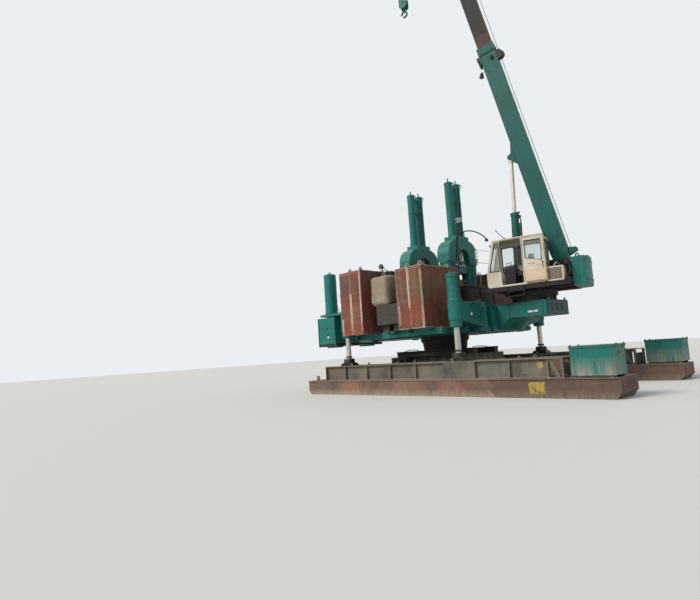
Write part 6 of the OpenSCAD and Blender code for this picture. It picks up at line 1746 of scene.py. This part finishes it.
# Lift cylinder: its barrel carries a bolted gland, port blocks and a feed
# pipe clamped along its back; the slim rod is pale with dry dust.
boom_foot = Vector((1.16, 0, 4.2))
boom_rise = math.radians(77.5)
ear_along, ear_below = 4.63, 0.49
rod_eye = boom_foot + Vector((-ear_along * math.cos(boom_rise) - ear_below * math.sin(boom_rise), 0,
    ear_along * math.sin(boom_rise) - ear_below * math.cos(boom_rise)))
lift_foot = Vector((-0.48, 0, 3.95))
lift_way = rod_eye - lift_foot
lift_long = lift_way.length
barrel_long = 0.54 * lift_long
lift_place = (crane_axis @ Matrix.Translation(lift_foot)
    @ lift_way.normalized().to_track_quat("Z", "Y").to_matrix().to_4x4())
across = (lift_place.to_3x3().inverted() @ (crane_axis.to_3x3() @ Vector((1, 0, 0)))).normalized()
lift_place = lift_place @ Matrix.Rotation(math.atan2(across.y, across.x), 4, "Z")
# A darker copy of the machine teal (lift 0.62) for the boom and the lift cylinder: painted shade.
boom_teal_painted_shade = teal_skin("boom_teal_painted_shade", 0.62, wear=0.12, shift=57.0)
dress(boom_teal_painted_shade, "boom_base", "lift_barrel")
work = Bench(lift_place)
work.bolt_ring((0, 0, barrel_long), up, 0.128, 10, 0.01, 0.014)
work.spin((0, 0, barrel_long), up, [(0.104, -0.002), (0.112, 0.004), (0.108, 0.014), (0.088, 0.018)], 32)
for z in (0.62, 1.2, 1.8):
    work.band((0, 0, z), up, 0.139, 0.147, 0.034, edge=0.003)
for s in (-1, 1):
    work.weld((0.071, s * 0.06, 0.165), (-0.071, s * 0.06, 0.165), 0.006)
work.piece("lift_bands", "lift_tube", boom_teal_painted_shade, "teal_paint")
work = Bench(lift_place)
for y in (-0.055, 0.055):
    work.tube([(0.205, y * 0.4, 0.56), (0.215, y, 0.62), (0.216, y, 1.4), (0.212, y, barrel_long - 0.32),
        (0.16, y, barrel_long - 0.22), (0.135, y, barrel_long - 0.16)], 0.012)
work.block((0.12, -0.06, barrel_long - 0.2), (0.215, 0.06, barrel_long - 0.1), 0.008)
work.block((0.12, -0.05, barrel_long - 0.02), (0.19, 0.05, barrel_long + 0.035), 0.008)
work.bolts([(0.215, t, barrel_long - 0.15) for t in (-0.035, 0.035)], (1, 0, 0), 0.01, 0.01)
work.spin((0.06, 0, 0.3), (1, 0, 0), [(0, 0.06), (0.035, 0.06), (0.035, 0.12), (0, 0.12)], 12)
work.piece("lift_pipes", "lift_tube", dark_skin, "dark_steel")
work = Bench(lift_place)
for s in (-1, 1):
    work.spin((0, s * 0.074, lift_long), (0, s, 0),
        [(0.098, -0.002), (0.125, -0.002), (0.125, 0.004), (0.098, 0.006)], 32)
work.spin((0, 0, lift_long - 0.17), up, [(0.089, -0.01), (0.099, 0), (0.099, 0.05), (0.088, 0.07)], 28)
work.bolts([(0.0, s * 0.099, lift_long - 0.145) for s in (-1, 1)], (0, 1, 0), 0.008, 0.008)
pale_rod = plain_steel("pale_rod", (0.7, 0.66, 0.58), (0.52, 0.46, 0.38), (0.78, 0.76, 0.72), 0.0006,
    streak=0.4, dusty=0.3, rough=0.34, metal=0.35)
dress(pale_rod, "lift_rod")
work.piece("lift_eye_rings", "lift_ram", pale_rod, "rod_chrome")

# Boom: the teal base is a four-plate box with a welded seam along each
# corner, pad bolts, a flame-cut collar with its adjusting screws, a flood
# lamp on the front and a cable reel.
boom_lean = math.radians(-12.5)
boom_place = crane_axis @ Matrix.Translation(boom_foot) @ Matrix.Rotation(boom_lean, 4, "Y")
guard_s = 8.6
base_side = 0.2005
work = Bench(boom_place)
for side in (-1, 1):
    for t in (-0.295, 0.295):
        work.weld((t, side * base_side, 0.64), (t, side * base_side, 8.97))
    for s in (0.75, 2.9, 5.9, 8.2):
        for t in (-0.16, 0.16):
            work.cap((t, side * 0.199, s), (0, side, 0), 0.032, 0.01, 0.022, 0.016, 18, foot=0)
            work.nut((t, side * 0.213, s), (0, side, 0), 0.016, 0.01)
    work.block((-0.1, side * 0.2 - 0.008, 1.1), (0.16, side * 0.2 + 0.008, 1.62), 0.006)
    work.bolts([(t, side * 0.208, s) for t in (-0.075, 0.135) for s in (1.13, 1.36, 1.59)],
        (0, side, 0), 0.01, 0.009)
    for t, s in ((-0.2, 9.06), (0.2, 9.06), (-0.2, 9.22), (0.2, 9.22)):
        work.nut((t, side * 0.224, s), (0, side, 0), 0.02, 0.018)
    work.weld((-0.32, side * 0.2255, 8.978), (0.32, side * 0.2255, 8.978))
    work.spin((0, side * 0.199, 0), (0, side, 0),
        [(0.115, 0), (0.165, 0), (0.165, 0.012), (0.115, 0.014)], 36)
    work.weld((-0.26, side * base_side, 0.16), (-0.305, side * base_side, 0.6), 0.006)
for t, s in ((-0.31, -1), (0.31, 1)):
    for pos in (1.9, 3.4, 6.4, 7.7):
        work.pad((t, 0), (0.006, 0.08), pos, pos + 0.22)
        work.bolts([(t + s * 0.006, y, pos + z) for y in (-0.06, 0.06) for z in (0.03, 0.19)],
            (s, 0, 0), 0.009, 0.008)
for y in (-0.12, 0.12):
    work.bar((0.31, y, guard_s), (0.43, y, guard_s), 0.012, 10)
work.bar((0.43, -0.14, guard_s), (0.43, 0.14, guard_s), 0.014, 10)
work.block((-0.36, -0.16, 8.7), (-0.31, 0.16, 8.96), 0.006)
work.piece("boom_seams", "boom", boom_teal_painted_shade, "teal_paint")
work = Bench(boom_place)
work.block((-0.44, -0.13, 8.62), (-0.36, 0.13, 8.8), 0.01)
work.block((-0.46, -0.1, 8.86), (-0.36, 0.1, 9.04), 0.01)
work.bar((-0.4, -0.16, 8.83), (-0.4, 0.16, 8.83), 0.04, 14)
work.bar((-0.31, -0.05, 8.38), (-0.47, -0.1, 8.34), 0.012, 10)
work.spin((-0.47, -0.11, 8.26), (-0.35, 0, -1),
    [(0, -0.1), (0.05, -0.1), (0.085, 0.02), (0.09, 0.1), (0.08, 0.1), (0, 0.08)], 20)
work.spin((0.42, -0.17, 8.64), (0, 1, 0),
    [(0, 0), (0.16, 0), (0.16, 0.018), (0.1, 0.02), (0.1, 0.1), (0.16, 0.102), (0.16, 0.12), (0, 0.12)], 30)
work.bar((0.42, -0.215, 8.64), (0.42, -0.02, 8.64), 0.025, 12)
for y in (-0.205, -0.04):
    work.plate([(0.31, y, 8.48), (0.31, y, 8.9), (0.5, y, 8.84), (0.5, y, 8.56)], (0, 0.012, 0))
work.block((0.31, -0.22, 8.86), (0.37, -0.1, 9.0), 0.006)
work.cap((0.1, -0.232, 8.7), (0, -1, 0), 0.07, 0.03, 0.05, 0.04, foot=-0.02)
work.tube([(0.3, 0.15, 8.6), (0.25, 0.215, 8.5), (0.24, 0.214, 8.2), (0.24, 0.214, 5.0), (0.24, 0.214, 1.2),
    (0.2, 0.214, 0.75)], 0.01)
for s in (1.6, 2.8, 4.0, 5.2, 6.4, 7.6):
    work.block((0.225, 0.2, s), (0.255, 0.222, s + 0.03), 0.003)
work.piece("boom_gear", "boom", dark_skin, "dark_steel")

# Inner boom sections: worn grey box sections, greased along the corners and
# faded to red-brown where the first leaves the collar.
coat, skin, height, gloss = steel_skin("boom_grey", (0.042, 0.042, 0.044), (0.022, 0.023, 0.025),
    (0.095, 0.082, 0.072), streak=0.5, scrape=0.8, dusty=0.3, rough=0.68, metal=0.0, shift=5.0)
rub = coat.patch((1.55, -0.62, 13.0), (2.75, 0.62, 13.75), 0.09)
skin = coat.lay(coat.work("MULTIPLY", rub, 0.75), skin, (0.105, 0.045, 0.037))
boom_grey = coat.done(skin, height, 0.002, gloss)
dress(boom_grey, "boom_mid", "boom_tip")
middle_side, tip_side = 0.1705, 0.1405
work = Bench(boom_place)
for side in (-1, 1):
    for t in (-0.265, 0.265):
        work.weld((t, side * middle_side, 7.9), (t, side * middle_side, 15.92), 0.006)
    for t, s in ((-0.18, 16.0), (0.18, 16.0), (-0.18, 16.13), (0.18, 16.13)):
        work.nut((t, side * 0.189, s), (0, side, 0), 0.018, 0.016)
    for s in (10.6, 12.4, 14.2):
        work.spin((0, side * 0.169, s), (0, side, 0),
            [(0.045, 0), (0.05, 0.004), (0.034, 0.006), (0.03, 0), (0, 0)], 20)
work.block((0.28, -0.14, 15.96), (0.34, 0.14, 16.06), 0.006)
for y in (-0.12, 0.12):
    work.bar((0.3, y, 16.01), (0.43, y, 16.01), 0.01, 10)
work.bar((0.43, -0.13, 16.01), (0.43, 0.13, 16.01), 0.012, 10)
work.piece("middle_seams", "boom_middle", boom_grey, "boom_grey")
head_s, head_t, roll_s, roll_t = 23.1, -0.12, 22.92, 0.281
work = Bench(boom_place)
for side in (-1, 1):
    for t in (-0.235, 0.235):
        work.weld((t, side * tip_side, 14.8), (t, side * tip_side, 22.45), 0.006)
    for t, s, r in ((head_t, head_s, 0.075), (roll_t, roll_s, 0.05)):
        work.cap((t, side * 0.16, s), (0, side, 0), r, 0.008, r * 0.7, 0.014, 24, foot=-0.01)
        work.bolt_ring((t, side * 0.168, s), (0, side, 0), r * 0.8, 6, 0.008, 0.008)
    work.block((-0.1, side * 0.142 - 0.006, 22.52), (0.12, side * 0.142 + 0.006, 22.66))
    for s in (17.8, 19.6, 21.4):
        work.spin((0, side * 0.139, s), (0, side, 0),
            [(0.045, 0), (0.05, 0.004), (0.034, 0.006), (0.03, 0), (0, 0)], 20)
for y in (-0.13, 0.0, 0.13):
    work.bar((head_t - 0.1, y, head_s + 0.1), (head_t + 0.1, y, head_s + 0.1), 0.008, 8)
for a in (math.radians(100), math.radians(140), math.radians(190)):
    t, s = head_t + 0.268 * math.cos(a), head_s + 0.268 * math.sin(a)
    work.bar((t, -0.14, s), (t, 0.14, s), 0.012, 10)
work.block((0.06, -0.095, 22.98), (0.14, -0.045, 23.12), 0.008)
work.bar((-0.26, 0.0, 22.5), (-0.34, 0.0, 22.5), 0.02, 10)
work.spin((-0.35, 0, 22.5), (-0.3, 0, -1),
    [(0, -0.02), (0.05, -0.02), (0.06, 0.06), (0.052, 0.06), (0, 0.045)], 18)
work.piece("head_fittings", "boom_end", boom_grey, "boom_grey")

# Hoist rope: taut wire from the drum, under the guide roller and up the
# boom's back in three lengths, over the head sheaves to the hook.
def round_sheave(t, s, radius, y, angles):
    """Points of a rope lying in a sheave's groove."""
    turns = [math.radians(a) for a in angles]
    return [(t + radius * math.cos(a), y, s + radius * math.sin(a)) for a in turns]


rope_t, rope_y = 0.4, 0.07
guide_point = boom_place @ Vector((rope_t, rope_y, 0.47))
drum_point = crane_axis @ Vector((1.7912, rope_y, 3.9097))
work = Bench(Matrix())
work.tube([drum_point.lerp(guide_point, i / 24) for i in range(25)], rope_r, 8, 1)
work.piece("winch_rope", "crane", rope_skin, "rope_steel")
for name, body, low, high in (("base_rope", "boom", 0.47, 9.28),
        ("middle_rope", "boom_middle", 8.55, 16.18), ("tip_rope", "boom_end", 15.45, 22.92)):
    work = Bench(boom_place)
    work.tube([(rope_t, rope_y, low + (high - low) * i / 40) for i in range(41)], rope_r, 8, 1)
    if body == "boom_end":
        for y, first in ((rope_y, 50), (-rope_y, 75)):
            line = round_sheave(head_t, head_s, 0.239, y, range(first, 168, 6))
            if y == rope_y:
                line = round_sheave(roll_t, roll_s, 0.119, y, range(0, 51, 5)) + line
            work.tube(line, rope_r, 8, 1)
    work.piece(name, body, rope_skin, "rope_steel")

# Hook block: two cheek plates over the sheaves, with bolts, spacers, a
# swivel nut on the shank, and a spring latch on the hook.
fall_x = -4.19681
cheek_half = 0.1375
hook_place = crane_axis @ Matrix.Translation((fall_x, 0, 0))
work = Bench(hook_place)
for side in (-1, 1):
    y = side * cheek_half
    for x, z in ((-0.12, 16.47), (0.12, 16.47), (-0.12, 16.85), (0.12, 16.85)):
        work.bolts([(x, y, z)], (0, side, 0), 0.016, 0.014)
    work.cap((0, side * 0.145, 16.7), (0, side, 0), 0.06, 0.006, 0.045, 0.012, 24, foot=-0.01)
    work.block((-0.05, min(y, y + side * 0.006), 16.74), (0.05, max(y, y + side * 0.006), 16.82), 0.003)
    work.frame((-0.165, y + side * 0.001, 16.5), (0.165, y + side * 0.001, 16.6), 0.004)
for x in (-0.14, 0.14):
    work.bar((x, -0.125, 16.52), (x, 0.125, 16.52), 0.014, 12)
    work.bar((x, -0.125, 16.86), (x, 0.125, 16.86), 0.014, 12)
work.piece("hook_block_fittings", "hook", machine_teal, "teal_paint")
work = Bench(hook_place)
work.spin((0, 0, 16.29), up, [(0.044, 0.03), (0.07, 0.03), (0.07, 0.075), (0.044, 0.075)], 6)
work.tube([(0.03, 0, 16.3), (0.06, 0, 16.26), (0.085, 0, 16.22), (0.105, 0, 16.19)], 0.009, 8)
work.nut((0.035, -0.03, 16.295), (0, 1, 0), 0.014, 0.06, 10)
work.piece("hook_latch", "hook", dark_skin, "dark_steel")

# The floor and the light: level pale ground under a bright, hazy sky, with
# a soft sun half way up over the left shoulder.
far_out = 150
floor_mesh = bpy.data.meshes.new("floor")
floor_mesh.from_pydata([(-far_out, -far_out, 0), (far_out, -far_out, 0), (far_out, far_out, 0),
    (-far_out, far_out, 0)], [], [(0, 1, 2, 3)])
floor = stand("floor", floor_mesh)
floor_skin = bpy.data.materials.new("floor")
floor_skin.use_nodes = True
ground = floor_skin.node_tree.nodes["Principled BSDF"]
ground.inputs["Base Color"].default_value = (0.62, 0.61, 0.58, 1)
ground.inputs["Roughness"].default_value = 0.9
floor_mesh.materials.append(floor_skin)

world = bpy.data.worlds.new("studio")
bpy.context.scene.world = world
world.use_nodes = True
sky = world.node_tree
back = sky.nodes["Background"]
back.inputs["Color"].default_value = (0.92, 0.96, 1.0, 1)
back.inputs["Strength"].default_value = 0.55
seen = sky.nodes.new("ShaderNodeBackground")
seen.inputs["Color"].default_value = (0.83, 0.86, 0.88, 1)
seen.inputs["Strength"].default_value = 1.0
rays = sky.nodes.new("ShaderNodeLightPath")
seen_by = rays.outputs["Is Camera Ray"]
for kind in ("Is Glossy Ray", "Is Transmission Ray"):
    either = sky.nodes.new("ShaderNodeMath")
    either.operation = "MAXIMUM"
    sky.links.new(seen_by, either.inputs[0])
    sky.links.new(rays.outputs[kind], either.inputs[1])
    seen_by = either.outputs[0]
mixed = sky.nodes.new("ShaderNodeMixShader")
sky.links.new(seen_by, mixed.inputs[0])
sky.links.new(back.outputs[0], mixed.inputs[1])
sky.links.new(seen.outputs[0], mixed.inputs[2])
sky.links.new(mixed.outputs[0], sky.nodes["World Output"].inputs["Surface"])

sun_data = bpy.data.lights.new("sun", "SUN")
sun_data.energy = 2.6
sun_data.angle = math.radians(25)
sun_data.color = (1.0, 0.97, 0.92)
sun = stand("sun", sun_data)
sun.rotation_euler = Vector((-0.35, -0.8, 0.75)).to_track_quat("Z", "Y").to_euler()
